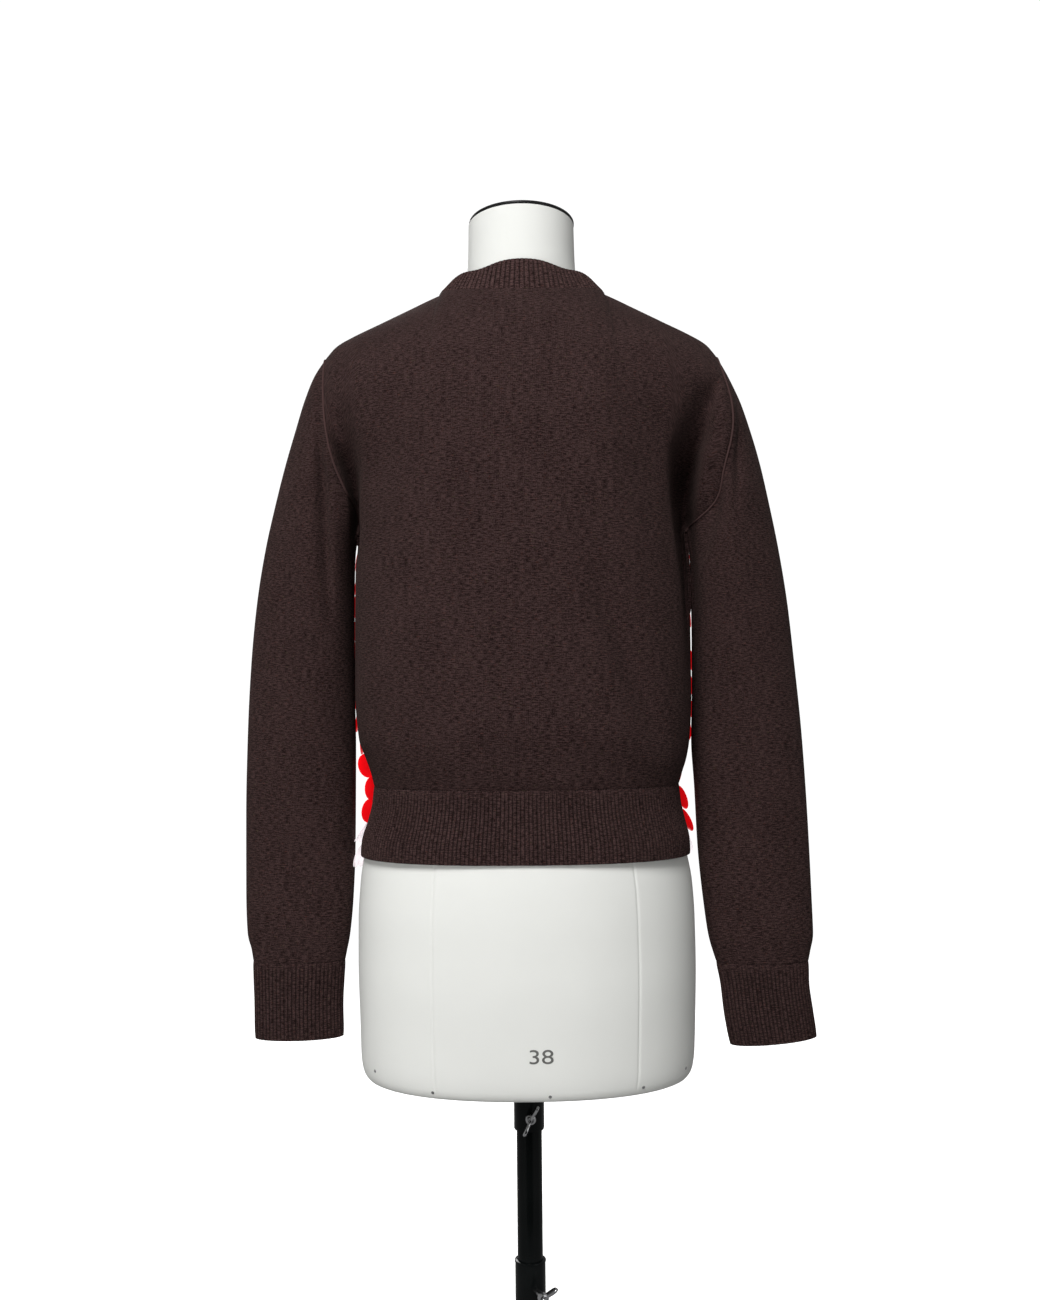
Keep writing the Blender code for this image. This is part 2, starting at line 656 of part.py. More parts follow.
def neck_cap():
    low = FORM[-1][0] + SEAM_GAP
    edge = 0.8
    profile = [
        (NECK_CAP_RADIUS - edge, low),
        (NECK_CAP_RADIUS, low + edge),
        (NECK_CAP_RADIUS, NECK_CAP_TOP - edge),
        (NECK_CAP_RADIUS - edge, NECK_CAP_TOP),
    ]
    angles = np.radians(np.arange(36) * 10.0)
    rings = []
    for r, z in profile:
        x, y = r * np.cos(angles), r * np.sin(angles)
        rings.append(np.stack([x, y, z + y * NECK_TILT], axis=-1))
    return lofted("neck_cap", rings, "black_edge")


def base_plate():
    profile = [
        (BASE_RADIUS - BASE_EDGE, 0.0),
        (BASE_RADIUS, BASE_EDGE),
        (BASE_RADIUS, BASE_THICKNESS - BASE_EDGE),
        (BASE_RADIUS - BASE_EDGE, BASE_THICKNESS),
        (36.0, BASE_THICKNESS + 1.0),
        (27.0, BASE_THICKNESS + 5.0),
        (23.0, HUB_TOP - 2.0),
        (21.0, HUB_TOP),
        (TUBE_RADIUS + SEAM_GAP, HUB_TOP),
        (TUBE_RADIUS + SEAM_GAP, TUBE_SEAT),
    ]
    return turned("base_plate", profile, "black_metal", sides=48)


def radial_place(height, bearing, distance):
    """A frame whose Z points out of the pole at this bearing from the back, at this distance."""
    angle = math.radians(90 + bearing)
    out = Vector((math.cos(angle), math.sin(angle), 0.0))
    turn = out.to_track_quat("Z", "Y").to_matrix().to_4x4()
    return Matrix.Translation(out * distance * MM + Vector((0, 0, height * MM))) @ turn


def drill(thing, screw, reach):
    """Cuts the screw's hole through one side of a tube."""
    low, high = POLE_RADIUS - 4.0, reach + 6.0
    bit = turned(
        thing.name + "_drill",
        [(SCREW_HOLE_RADIUS, low), (SCREW_HOLE_RADIUS, high)],
        "black_metal",
        sides=20,
    )
    bit.matrix_world = radial_place(screw["height"], screw["bearing"], 0.0)
    combine(thing, bit, "DIFFERENCE")


def lower_tube():
    low = TUBE_SEAT + SEAM_GAP
    chamfer = 0.8
    profile = [
        (TUBE_BORE, low),
        (TUBE_RADIUS, low),
        (TUBE_RADIUS, TUBE_TOP - 5.0),
        (TUBE_RADIUS + TUBE_RIM, TUBE_TOP - 4.5),
        (TUBE_RADIUS + TUBE_RIM, TUBE_TOP - chamfer),
        (TUBE_RADIUS + TUBE_RIM - chamfer, TUBE_TOP),
        (TUBE_BORE, TUBE_TOP),
    ]
    made = turned("lower_tube", profile, "black_metal", hollow=True)
    drill(made, LOWER_SCREW, TUBE_RADIUS)
    return made


def socket():
    top = FORM_BOTTOM - SEAM_GAP
    chamfer = 1.2
    bore = POLE_RADIUS + 0.4
    profile = [
        (TUBE_RADIUS, top),
        (TUBE_RADIUS, SOCKET_BOTTOM + chamfer),
        (TUBE_RADIUS - chamfer, SOCKET_BOTTOM),
        (bore, SOCKET_BOTTOM),
        (bore, SOCKET_ROOF),
    ]
    made = turned("socket", profile[::-1], "black_metal")
    drill(made, UPPER_SCREW, TUBE_RADIUS)
    return made


def pole():
    chamfer = 1.0
    profile = [
        (POLE_RADIUS - chamfer, POLE_BOTTOM),
        (POLE_RADIUS, POLE_BOTTOM + chamfer),
        (POLE_RADIUS, POLE_TOP - chamfer),
        (POLE_RADIUS - chamfer, POLE_TOP),
    ]
    return turned("pole", profile, "black_metal")


def wing_outline():
    """Half of the two-winged head seen from its side, as (out along the screw, sideways)."""
    tip = WING_REACH
    return [
        (1.5, 0.0),
        (1.5, 3.6),
        (4.4, tip - 3.6),
        (7.0, tip - 0.6),
        (9.8, tip),
        (11.8, tip - 1.6),
        (12.0, tip - 4.2),
        (8.6, 5.0),
        (6.8, 0.0),
    ]


def wing_screw(name, screw):
    """A screw with a round hub and two flat wings, its shaft pointing at the pole."""
    start = POLE_RADIUS + SEAM_GAP
    seat = TUBE_RADIUS + screw["standoff"]
    shaft = turned(
        name,
        [
            (SCREW_SHAFT_RADIUS, start),
            (SCREW_SHAFT_RADIUS, seat),
            (SCREW_HUB_RADIUS, seat),
            (SCREW_HUB_RADIUS, seat + SCREW_HUB_LENGTH - 1.0),
            (SCREW_HUB_RADIUS - 1.2, seat + SCREW_HUB_LENGTH),
        ],
        "screw_metal",
        sides=20,
    )
    shape = bmesh.new()
    half = wing_outline()
    outline = half[:-1] + [(half[-1][0], 0.0)] + [(out, -side) for out, side in half[-2:0:-1]]
    lower = [
        shape.verts.new(Vector((-WING_THICKNESS / 2, side, seat + out)) * MM)
        for out, side in outline
    ]
    upper = [
        shape.verts.new(Vector((WING_THICKNESS / 2, side, seat + out)) * MM)
        for out, side in outline
    ]
    fill_grid(shape, [lower, upper], True)
    shape.faces.new(lower)
    shape.faces.new(upper)
    wings = finish_object(name + "_wings", shape, "screw_metal")
    combine(shaft, wings, "UNION")
    spin = Matrix.Rotation(math.radians(screw["lean"]), 4, "Z")
    place = radial_place(screw["height"], screw["bearing"], 0.0) @ spin
    shaft.matrix_world = place
    wings.matrix_world = place
    return shaft


def build():
    clear_scene()
    panel("back_panel", 1)
    panel("front_panel", -1)
    hem_rib()
    neck_rib()
    for name, side in (("left", 1), ("right", -1)):
        sleeve(name + "_sleeve", side)
        cuff(name + "_cuff", side)
    dress_form()
    neck_cap()
    base_plate()
    lower_tube()
    pole()
    socket()
    wing_screw("form_screw", UPPER_SCREW)
    wing_screw("height_screw", LOWER_SCREW)


build()
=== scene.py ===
# %% [markdown]
# # A knitted sweater with a sequinned front, on a dress form
# The sweater is fine dark brown wool. It has a ribbed neck, hem and cuffs, set-in sleeves that
# hang empty, and large loose sequins over its front. It is worn by a limbless form on a black
# telescopic stand. The hard work is done by one idea: every soft piece is a grid of points read
# from a short table of rings, pressed with folds, and closed into a thin shell.

# %% Load the fixed frame
import math

import bmesh
import bpy
import numpy as np
from mathutils import Matrix, Vector


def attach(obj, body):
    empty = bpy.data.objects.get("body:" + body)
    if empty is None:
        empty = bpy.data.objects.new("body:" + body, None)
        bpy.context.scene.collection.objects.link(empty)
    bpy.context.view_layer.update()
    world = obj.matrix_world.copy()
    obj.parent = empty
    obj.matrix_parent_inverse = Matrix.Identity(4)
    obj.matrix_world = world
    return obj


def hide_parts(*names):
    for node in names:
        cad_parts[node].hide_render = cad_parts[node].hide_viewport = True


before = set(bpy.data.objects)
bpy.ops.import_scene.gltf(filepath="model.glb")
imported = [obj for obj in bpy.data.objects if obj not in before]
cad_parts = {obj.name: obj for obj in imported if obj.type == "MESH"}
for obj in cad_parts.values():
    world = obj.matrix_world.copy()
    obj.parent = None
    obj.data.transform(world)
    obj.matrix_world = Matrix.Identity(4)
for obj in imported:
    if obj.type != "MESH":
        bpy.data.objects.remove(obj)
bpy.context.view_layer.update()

chance = np.random.default_rng(38)
MM = 0.001

# %% [markdown]
# ## The camera
# The picture was taken at chest height, square to the back of the form, with a short lens. The
# camera is placed by its three axes instead of angles, so its slight upward pitch and the small
# roll of the picture stay easy to read.

# %% Place the camera behind the form
EYE = Vector((0.0050, 1.400, 1.020))
PITCH = math.radians(1.76)
ROLL = math.radians(0.5)
LENS = 36.0 * 1400.0 / 1300.0

level = Vector((-1.0, 0.0, 0.0))
ahead = Vector((0.0, -math.cos(PITCH), math.sin(PITCH)))
above = level.cross(ahead)
right = level * math.cos(ROLL) - above * math.sin(ROLL)
up = level * math.sin(ROLL) + above * math.cos(ROLL)

lens = bpy.data.cameras.new("camera")
lens.sensor_fit = "VERTICAL"
lens.sensor_height = 36.0
lens.lens = LENS
lens.clip_end = 60.0
camera = bpy.data.objects.new("camera", lens)
camera.matrix_world = Matrix.Translation(EYE) @ Matrix((right, up, -ahead)).transposed().to_4x4()
bpy.context.scene.collection.objects.link(camera)
bpy.context.scene.camera = camera
bpy.context.scene.view_settings.view_transform = "Standard"
print("camera at", [round(v, 3) for v in EYE], "lens", round(LENS, 2), "mm")

# %% [markdown]
# ## Light
# Clothes are shown on plain white, in soft light. A pale world fills every shadow a little.
# Large lamps on the camera's side, one higher and stronger, lift whatever faces them, so the
# sides of the form and the folds of the wool stay darker. A low lamp does for the form's lower
# half what a white floor would, and is kept out of the paint's reflections.

# %% A white world and four soft lamps
WORLD_STRENGTH = 0.24
world = bpy.data.worlds.new("studio")
world.use_nodes = True
world.node_tree.nodes["Background"].inputs["Color"].default_value = (1.0, 1.0, 1.0, 1.0)
world.node_tree.nodes["Background"].inputs["Strength"].default_value = WORLD_STRENGTH
bpy.context.scene.world = world

# Name, place and aim in metres, size, and power in watts.
LAMPS = [
    ("left_lamp", (0.60, 2.2, 3.1), (0.0, 0.0, 1.1), 1.5, 86.0),
    ("right_lamp", (-2.2, 2.2, 1.7), (0.0, 0.0, 1.0), 1.4, 4.5),
    ("low_lamp", (0.9, 1.8, 0.4), (0.0, 0.0, 0.9), 1.2, 11.0),
    ("far_lamp", (0.6, -2.8, 2.4), (0.0, 0.0, 1.0), 1.6, 44.0),
]
for name, place, aim, size, power in LAMPS:
    light = bpy.data.lights.new(name, "AREA")
    light.shape = "DISK"
    light.size = size
    light.energy = power
    lamp = bpy.data.objects.new(name, light)
    lamp.location = place
    lamp.rotation_euler = (Vector(aim) - Vector(place)).to_track_quat("-Z", "Y").to_euler()
    bpy.context.scene.collection.objects.link(lamp)
    lamp.visible_glossy = name != "low_lamp"
print("lamps:", len(LAMPS))

# %% [markdown]
# ## Writing finishes as sums
# A finish is a small network of nodes. Wired up one call at a time it is hard to read, so a
# socket is wrapped in a class whose operators add the Math nodes. `dark + fleck * 0.3` then
# reads as what it does. Colours go through Mix nodes, because a Math node turns a colour grey.


# %% A wrapped socket, and a finish that holds its nodes
class Wire:
    """One output of a node. Sums with numbers or other wires add Math nodes."""

    def __init__(self, finish, socket):
        self.finish = finish
        self.socket = socket

    def sum(self, operation, first, second):
        return self.finish.node("ShaderNodeMath", {"operation": operation}, {0: first, 1: second})

    def __add__(self, other):
        return self.sum("ADD", self, other)

    def __radd__(self, other):
        return self.sum("ADD", other, self)

    def __sub__(self, other):
        return self.sum("SUBTRACT", self, other)

    def __rsub__(self, other):
        return self.sum("SUBTRACT", other, self)

    def __mul__(self, other):
        return self.sum("MULTIPLY", self, other)

    def __rmul__(self, other):
        return self.sum("MULTIPLY", other, self)

    def __truediv__(self, other):
        return self.sum("DIVIDE", self, other)

    def __rtruediv__(self, other):
        return self.sum("DIVIDE", other, self)


class Finish:
    """A material, its Principled shader and the nodes that feed it."""

    def __init__(self, name, **plain):
        self.material = bpy.data.materials.new(name)
        self.material.use_nodes = True
        self.tree = self.material.node_tree
        self.shader = self.tree.nodes["Principled BSDF"]
        self.feed(**plain)

    def node(self, kind, settings, values, output=0):
        """Adds a node: its settings first, then a value or a wire for each named socket."""
        made = self.tree.nodes.new(kind)
        for name, value in settings.items():
            setattr(made, name, value)
        for name, value in values.items():
            if isinstance(value, Wire):
                self.tree.links.new(value.socket, made.inputs[name])
            else:
                made.inputs[name].default_value = value
        return Wire(self, made.outputs[output])

    def feed(self, **inputs):
        """Sets sockets of the Principled shader, named with _ for spaces."""
        for name, value in inputs.items():
            socket = self.shader.inputs[name.replace("_", " ")]
            if isinstance(value, Wire):
                self.tree.links.new(value.socket, socket)
            else:
                socket.default_value = (*value, 1.0) if isinstance(value, tuple) else value

    def cloth(self):
        """Where a point is on the cloth before it was hung, in metres: across and along."""
        place = self.node("ShaderNodeAttribute", {"attribute_name": "cloth"}, {}, "Vector")
        return [
            self.node("ShaderNodeSeparateXYZ", {}, {"Vector": place}, part) for part in ("X", "Y")
        ]

    def place(self, x, y, z=0.0):
        return self.node("ShaderNodeCombineXYZ", {}, {"X": x, "Y": y, "Z": z})

    def spot(self, output="Object"):
        return self.node("ShaderNodeTexCoord", {}, {}, output)

    def noise(self, place, scale, detail=2.0, rough=0.5):
        values = {"Vector": place, "Scale": scale, "Detail": detail, "Roughness": rough}
        return self.node("ShaderNodeTexNoise", {"noise_dimensions": "3D"}, values)

    def between(self, value, low, high):
        """0 up to low, 1 from high, and a soft step between them."""
        settings = {"interpolation_type": "SMOOTHSTEP"}
        return self.node(
            "ShaderNodeMapRange", settings, {"Value": value, "From Min": low, "From Max": high}
        )

    def mix(self, share, first, second):
        """Blends two colours, each a wire or three numbers."""
        first = (*first, 1.0) if isinstance(first, tuple) else first
        second = (*second, 1.0) if isinstance(second, tuple) else second
        values = {0: share, 6: first, 7: second}
        return self.node("ShaderNodeMix", {"data_type": "RGBA"}, values, 2)

    def zigzag(self, value, scale):
        """Rises to scale and falls back to 0, over and over."""
        return self.node("ShaderNodeMath", {"operation": "PINGPONG"}, {0: value, 1: scale})

    def bump(self, height, distance, strength=1.0):
        values = {"Height": height, "Distance": distance, "Strength": strength}
        return self.node("ShaderNodeBump", {}, values)


print("finishes are made by", Finish.__name__)

# %% [markdown]
# ## Wool
# The yarn is spun from fibres dyed in several browns, so the knit is never one colour: each
# course is a fine streak, lighter or darker, with a few reddish and olive flecks. Streaks need
# to follow the cloth and not the room. Each piece therefore carries a map named "cloth", in
# metres across and along the knit, and the streaks and the stitches are drawn in that map.

# %% The knit's colour, streaks and stitches
YARN_DARK = (0.0074, 0.0032, 0.0031)
YARN_LIGHT = (0.0560, 0.0320, 0.0308)
RED_FLECK = (0.090, 0.030, 0.022)
OLIVE_FLECK = (0.060, 0.050, 0.026)
WALE = 0.00170
COURSE = 0.00125
STITCH_DEPTH = 0.00030


def wool(name, wale, course, depth, shade=1.0, rib=None, rib_end=1.0):
    """Heathered knit: stitches of that size, raised by that depth. The shade argument scales the
    yarn's colour, which paints lighter copies of the one wool. On ribbing, shade is painted into
    the sunken columns between the ribs, up to where the ribs run out."""
    made = Finish(name, Roughness=0.95, Specular_IOR_Level=0.06)
    made.feed(Sheen_Weight=0.04, Sheen_Roughness=0.6, Sheen_Tint=(0.6, 0.45, 0.4))
    x, y = made.cloth()
    streak = made.noise(made.place(x * 0.20, y), 900.0, 2.0, 0.55)
    grain = made.noise(made.place(x * 0.55, y, 4.1), 1350.0, 1.0, 0.6)
    cloud = made.noise(made.place(x, y), 26.0, 2.0)
    tone = made.between(streak * 0.52 + grain * 0.42 + cloud * 0.06, 0.395, 0.612)
    dark = tuple(v * shade for v in YARN_DARK)
    light = tuple(v * shade for v in YARN_LIGHT)
    colour = made.mix(tone, dark, light)
    red = made.between(made.noise(made.place(x * 0.3, y, 0.7), 780.0, 1.0), 0.665, 0.74)
    olive = made.between(made.noise(made.place(x * 0.3, y, 2.9), 640.0, 1.0), 0.675, 0.75)
    colour = made.mix(red * 0.45, colour, RED_FLECK)
    colour = made.mix(olive * 0.40, colour, OLIVE_FLECK)
    if rib:
        over = made.zigzag(x, rib / 2) * (2 / rib)
        fade = 1 - made.between(y, rib_end - 0.010, rib_end + 0.004)
        # painted shade: the sunken columns between the ribs are coloured darker
        groove = made.between(over, 0.45, 0.90) * (fade * 0.55)
        colour = made.mix(groove, colour, tuple(v * 0.45 for v in YARN_DARK))
    side = made.zigzag(x, wale / 2) / (wale / 2)
    lean = y / course + side * 0.6
    loop = made.zigzag(lean, 0.5) * 2.0
    stitch = made.between(side, 0.02, 0.55) * 0.6 + loop * 0.4
    fuzz = made.noise(made.spot(), 2600.0, 2.0)
    made.feed(Base_Color=colour, Normal=made.bump(stitch + fuzz * 0.5, depth, 0.8))
    return made.material


knit = wool("brown_knit", WALE, COURSE, STITCH_DEPTH)
RIB = 0.0038
# The hem ribbing and cuffs are painted a little lighter than the body's wool, against the painted
# shade in their grooves.
hem_rib_knit = wool("brown_hem_ribbing", RIB / 2, COURSE, STITCH_DEPTH, 1.18, RIB, 0.067)
cuff_rib_knit = wool("brown_cuff_ribbing", RIB / 2, COURSE, STITCH_DEPTH, 1.08, RIB, 0.076)
# The neckband faces up towards the lamps, so its yarn is painted half as light again: painted
# light.
lit_neck_rib_knit = wool("brown_neck_ribbing_painted_light", RIB / 2, COURSE, STITCH_DEPTH, 1.50, RIB)
# The seam welts' yarn is painted almost twice as light, as a painted highlight along each ridge.
seam_highlight_knit = wool("brown_seam_knit", WALE, COURSE, STITCH_DEPTH, 1.9)
print("wool:", knit.name, "and", hem_rib_knit.name)

# %% [markdown]
# ## The other finishes
# The form is covered with tight off-white cloth, its neck has a black painted edge, and the
# stand is glossy black metal with bright screws. The sequins are thin plastic: most are a clear
# red, and those along the hem are pale and let some light through.

# %% Form cloth, black metal, bright metal and sequin plastic
FORM_CLOTH = (0.770, 0.776, 0.744)
WEAVE = 0.00035


def form_cloth():
    made = Finish("form_cloth", Roughness=0.85, Specular_IOR_Level=0.15)
    spot = made.spot()
    patch = made.between(made.noise(spot, 9.0, 3.0), 0.25, 0.75)
    thread = made.noise(spot, 1700.0, 2.0, 0.6)
    worn = tuple(v * 0.965 for v in FORM_CLOTH)
    made.feed(Base_Color=made.mix(patch, worn, FORM_CLOTH))
    weave_x, weave_z = [made.zigzag(axis, WEAVE) * (0.98 / WEAVE) for axis in made.cloth()]
    height = weave_x * 0.4 + weave_z * 0.4 + thread * 0.5
    made.feed(Normal=made.bump(height, 0.00012, 0.6))
    return made.material


def painted(name, colour, roughness, grain=900.0):
    """Smooth paint with the faint unevenness of a sprayed coat."""
    made = Finish(name, Specular_IOR_Level=0.12, Coat_Weight=0.03, Coat_Roughness=0.08)
    cloud = made.noise(made.spot(), 24.0, 2.0)
    speck = made.noise(made.spot(), grain, 2.0)
    light = tuple(v * 1.5 + 0.001 for v in colour)
    made.feed(Base_Color=made.mix(made.between(cloud, 0.3, 0.8), colour, light))
    made.feed(Roughness=roughness + speck * 0.08, Normal=made.bump(speck, 0.00005, 0.25))
    return made.material


def bright_metal():
    made = Finish("bright_metal", Metallic=1.0)
    speck = made.noise(made.spot(), 700.0, 3.0)
    tone = made.between(made.noise(made.spot(), 60.0, 2.0), 0.2, 0.8)
    made.feed(Base_Color=made.mix(tone, (0.50, 0.50, 0.51), (0.72, 0.72, 0.73)))
    made.feed(Roughness=0.12 + speck * 0.16, Normal=made.bump(speck, 0.00004, 0.4))
    return made.material


def sequin_plastic(name, colour, deep, alpha, painted_glow):
    """Glossy film whose colour shifts a little from disc to disc. Light that would come through the
    film from behind is painted as a faint glow of its own colour."""
    made = Finish(name, Roughness=0.16, Specular_IOR_Level=0.6)
    made.feed(Coat_Weight=0.6, Coat_Roughness=0.05)
    shift = made.between(made.noise(made.spot(), 70.0, 1.0), 0.3, 0.7)
    scuff = made.noise(made.spot(), 1400.0, 3.0)
    made.feed(Base_Color=made.mix(shift, deep, colour), Alpha=alpha)
    # Painted glow: the film's own colour as emission, standing in for light through it from behind.
    made.feed(Emission_Color=colour, Emission_Strength=painted_glow)
    made.feed(Normal=made.bump(scuff, 0.00005, 0.3))
    return made.material


cover_cloth = form_cloth()
black_edge = painted("black_edge", (0.010, 0.010, 0.010), 0.30)
grey_ink = painted("grey_ink", (0.105, 0.105, 0.100), 0.80)
black_metal = painted("black_metal", (0.0026, 0.0032, 0.0032), 0.10)
screw_metal = bright_metal()
red_disc = sequin_plastic("red_disc", (0.95, 0.004, 0.008), (0.72, 0.002, 0.005), 1.0, 0.55)
pale_disc = sequin_plastic("pale_disc", (0.97, 0.90, 0.93), (0.95, 0.82, 0.88), 0.50, 0.60)
stitch_thread = painted("stitch_thread", (0.045, 0.014, 0.012), 0.75)
print("finishes:", len(bpy.data.materials))

# %% [markdown]
# ## Curves through short tables
# A tailor measures a body at a few heights and lets the cloth run smoothly between them. The
# same is done here: each table holds a ring's half sizes at a few heights, and one curve that
# never swings past its points fills in the rest.


# %% Read a smooth curve from a table
def smooth(places, values, at):
    """A curve through (place, value) pairs that never swings past them."""
    places = np.asarray(places, float)
    values = np.asarray(values, float)
    at = np.clip(np.asarray(at, float), places[0], places[-1])
    step = np.diff(places)
    rise = np.diff(values) / step
    slope = np.zeros(len(places))
    slope[0], slope[-1] = rise[0], rise[-1]
    for i in range(1, len(places) - 1):
        if rise[i - 1] * rise[i] > 0:
            slope[i] = 2.0 * rise[i - 1] * rise[i] / (rise[i - 1] + rise[i])
    k = np.clip(np.searchsorted(places, at, side="right") - 1, 0, len(step) - 1)
    t = (at - places[k]) / step[k]
    start = values[k] * (1 + 2 * t) * (1 - t) ** 2 + slope[k] * step[k] * t * (1 - t) ** 2
    end = values[k + 1] * t**2 * (3 - 2 * t) - slope[k + 1] * step[k] * t**2 * (1 - t)
    return start + end


def read(table, columns, name, at, along=None):
    """A named column of a table, read along another column or along the row number."""
    rows = np.array(table, float)
    places = np.arange(len(rows)) if along is None else rows[:, columns.index(along)]
    return smooth(places, rows[:, columns.index(name)], at)


def power(value, exponent):
    return np.sign(value) * np.abs(value) ** exponent


def unit(vector):
    vector = np.asarray(vector, float)
    return vector / np.maximum(np.linalg.norm(vector, axis=-1, keepdims=True), 1e-12)


print("half way between 10 and 20:", float(smooth([0, 1], [10, 20], 0.5)))

# %% [markdown]
# ## The sweater's measures
# A knitter's pattern is a list of widths at marked heights, so the sweater is kept as short
# tables of rings. Left and right are the wearer's, and each half has its own size, because a
# hung garment is never quite even. The part's own source starts from the same measures.

# %% The sweater's measures, in millimetres
UNDERARM = 1180.0
BODY_ROUNDNESS = 2.45
FORM_ROUNDNESS = 2.25
WALL = 1.6
HEM_RIBS = 230
CUFF_RIBS = 54
NECK_RIBS = 105

# Rings of the body's outer face from the hem ribbing to the underarm: the half widths on the
# wearer's left and right, and the depths behind and in front of the pole's axis.
BODY_COLUMNS = ("height", "left", "right", "back", "front")
BODY = [
    (930.0, 150.5, 151.0, 111.0, 111.0),
    (941.0, 153.0, 154.2, 115.2, 116.8),
    (956.0, 158.0, 158.8, 120.5, 124.5),
    (976.0, 165.0, 162.0, 124.5, 131.0),
    (1020.0, 168.4, 164.4, 126.5, 136.5),
    (1080.0, 168.4, 165.0, 127.0, 141.0),
    (1135.0, 167.6, 164.6, 127.0, 143.5),
    (1180.0, 165.4, 161.5, 126.5, 144.0),
]

# The hem ribbing, from its lower edge to the seam with the body.
HEM = [
    (862.5, 164.0, 161.4, 118.4, 108.4),
    (878.0, 162.0, 160.2, 116.6, 107.2),
    (896.0, 156.2, 156.0, 112.6, 105.6),
    (915.0, 151.6, 152.0, 110.4, 107.4),
    (929.7, 150.5, 151.0, 111.0, 111.0),
]

# The shoulder seam and the neckline, which the neck ribbing starts from.
SHOULDER_COLUMNS = ("reach", "height")
SHOULDER = [
    (83.0, 1420.6),
    (95.0, 1415.2),
    (110.0, 1408.0),
    (140.0, 1393.8),
    (170.0, 1379.2),
    (186.0, 1369.6),
    (198.0, 1356.0),
]
NECK_SHARE = 4.0 / 11.0
NECK_BASE = dict(side=83.0, back=69.0, front=88.0, side_z=1420.6, back_z=1408.0, front_z=1364.0)
NECK_TOP = dict(side=71.0, back=58.5, front=73.0, side_z=1431.5, back_z=1440.5, front_z=1391.0)

# Sleeve rings from the armhole to the cuff. Outer and inner are the ring's two edges as seen
# from behind, bow swings its back and front outwards, and centre is its middle along Y.
# LOW_BOW swings the lower part of the left and right armholes, which is slacker on the right.
LOW_BOW = {1: -5.0, -1: 14.0}
LOW_BOW_TURN, LOW_BOW_WIDTH = 134.0, 20.0
LOW_BOW_FROM, LOW_BOW_RUN = 1200.0, 70.0
BOW_POWER = 3.5
SLEEVE_COLUMNS = ("outer_x", "outer_z", "inner_x", "inner_z", "half_depth", "bow", "centre")
LEFT_SLEEVE = [
    (197.5, 1356.0, 166.0, 1180.0, 56.0, 7.5, 0.0),
    (208.3, 1339.0, 168.4, 1171.0, 57.0, 6.0, 0.0),
    (218.0, 1315.5, 170.0, 1156.0, 56.5, 4.5, 0.0),
    (227.8, 1284.0, 170.4, 1136.0, 55.0, 2.0, 0.0),
    (238.2, 1249.0, 170.6, 1112.0, 53.0, 0.0, 0.0),
    (248.8, 1208.0, 170.6, 1083.0, 50.0, 0.0, 0.0),
    (259.0, 1164.0, 170.5, 1050.0, 46.5, 0.0, -1.0),
    (267.6, 1112.0, 170.4, 1012.0, 43.0, 0.0, -1.5),
    (273.6, 1053.0, 169.8, 971.0, 39.0, 0.0, -2.0),
    (277.4, 984.0, 170.1, 926.0, 35.0, 0.0, -2.0),
    (279.5, 902.0, 170.8, 868.0, 30.5, 0.0, -2.0),
    (279.7, 825.0, 173.2, 815.0, 27.0, 0.0, -2.0),
    (278.4, 784.0, 176.8, 780.0, 24.5, 0.0, -2.0),
    (274.6, 768.0, 179.6, 766.0, 22.0, 0.0, -2.0),
    (272.9, 757.0, 181.4, 757.0, 20.5, 0.0, -2.0),
]
RIGHT_SLEEVE = [
    (194.5, 1355.0, 161.5, 1180.0, 56.0, 23.0, 0.0),
    (204.0, 1338.0, 164.0, 1171.0, 57.0, 20.0, 0.0),
    (216.0, 1313.0, 166.0, 1156.0, 56.5, 13.0, 0.0),
    (226.7, 1282.0, 167.0, 1136.0, 55.0, 7.0, 0.0),
    (236.6, 1247.0, 167.2, 1112.0, 53.0, 3.0, 0.0),
    (246.0, 1204.0, 167.2, 1083.0, 50.0, 0.0, 0.0),
    (254.7, 1160.0, 167.0, 1050.0, 46.5, 0.0, -1.0),
    (262.7, 1108.0, 166.6, 1012.0, 43.0, 0.0, -1.5),
    (269.0, 1048.0, 165.4, 971.0, 39.0, 0.0, -2.0),
    (275.2, 980.0, 167.8, 926.0, 35.0, 0.0, -2.0),
    (280.0, 898.0, 170.4, 866.0, 30.5, 0.0, -2.0),
    (283.0, 820.0, 175.4, 812.0, 27.0, 0.0, -2.0),
    (284.2, 780.0, 180.2, 777.0, 24.5, 0.0, -2.0),
    (281.2, 762.0, 184.2, 762.0, 22.0, 0.0, -2.0),
    (279.2, 752.0, 187.4, 752.0, 20.5, 0.0, -2.0),
]
LEFT_CUFF = [
    (272.9, 756.7, 181.4, 756.7, 20.5, 0.0, -2.0),
    (272.4, 738.0, 182.8, 738.0, 20.0, 0.0, -2.0),
    (271.6, 711.0, 184.0, 712.0, 20.5, 0.0, -2.0),
    (271.4, 680.5, 183.3, 682.0, 21.0, 0.0, -2.0),
]
RIGHT_CUFF = [
    (279.2, 751.7, 187.4, 751.7, 20.5, 0.0, -2.0),
    (279.2, 732.0, 191.6, 731.0, 20.0, 0.0, -2.0),
    (282.4, 705.0, 194.8, 702.0, 20.5, 0.0, -2.0),
    (286.4, 677.5, 200.2, 670.0, 21.0, 0.0, -2.0),
]

print("length:", SHOULDER[0][1] - HEM[0][0], "mm, width:", BODY[-1][1] + BODY[-1][2], "mm")

# %% [markdown]
# ## Rings
# A body isn't round: cut level, it is a rounded oblong. A ring here is a circle whose sine and
# cosine are raised to a power below one, which squares it a little, with its own size on each
# side. A sleeve's ring tilts with the armhole, and the neckline's dips to the front.

# %% Rings of the body, of a sleeve and of the neckline

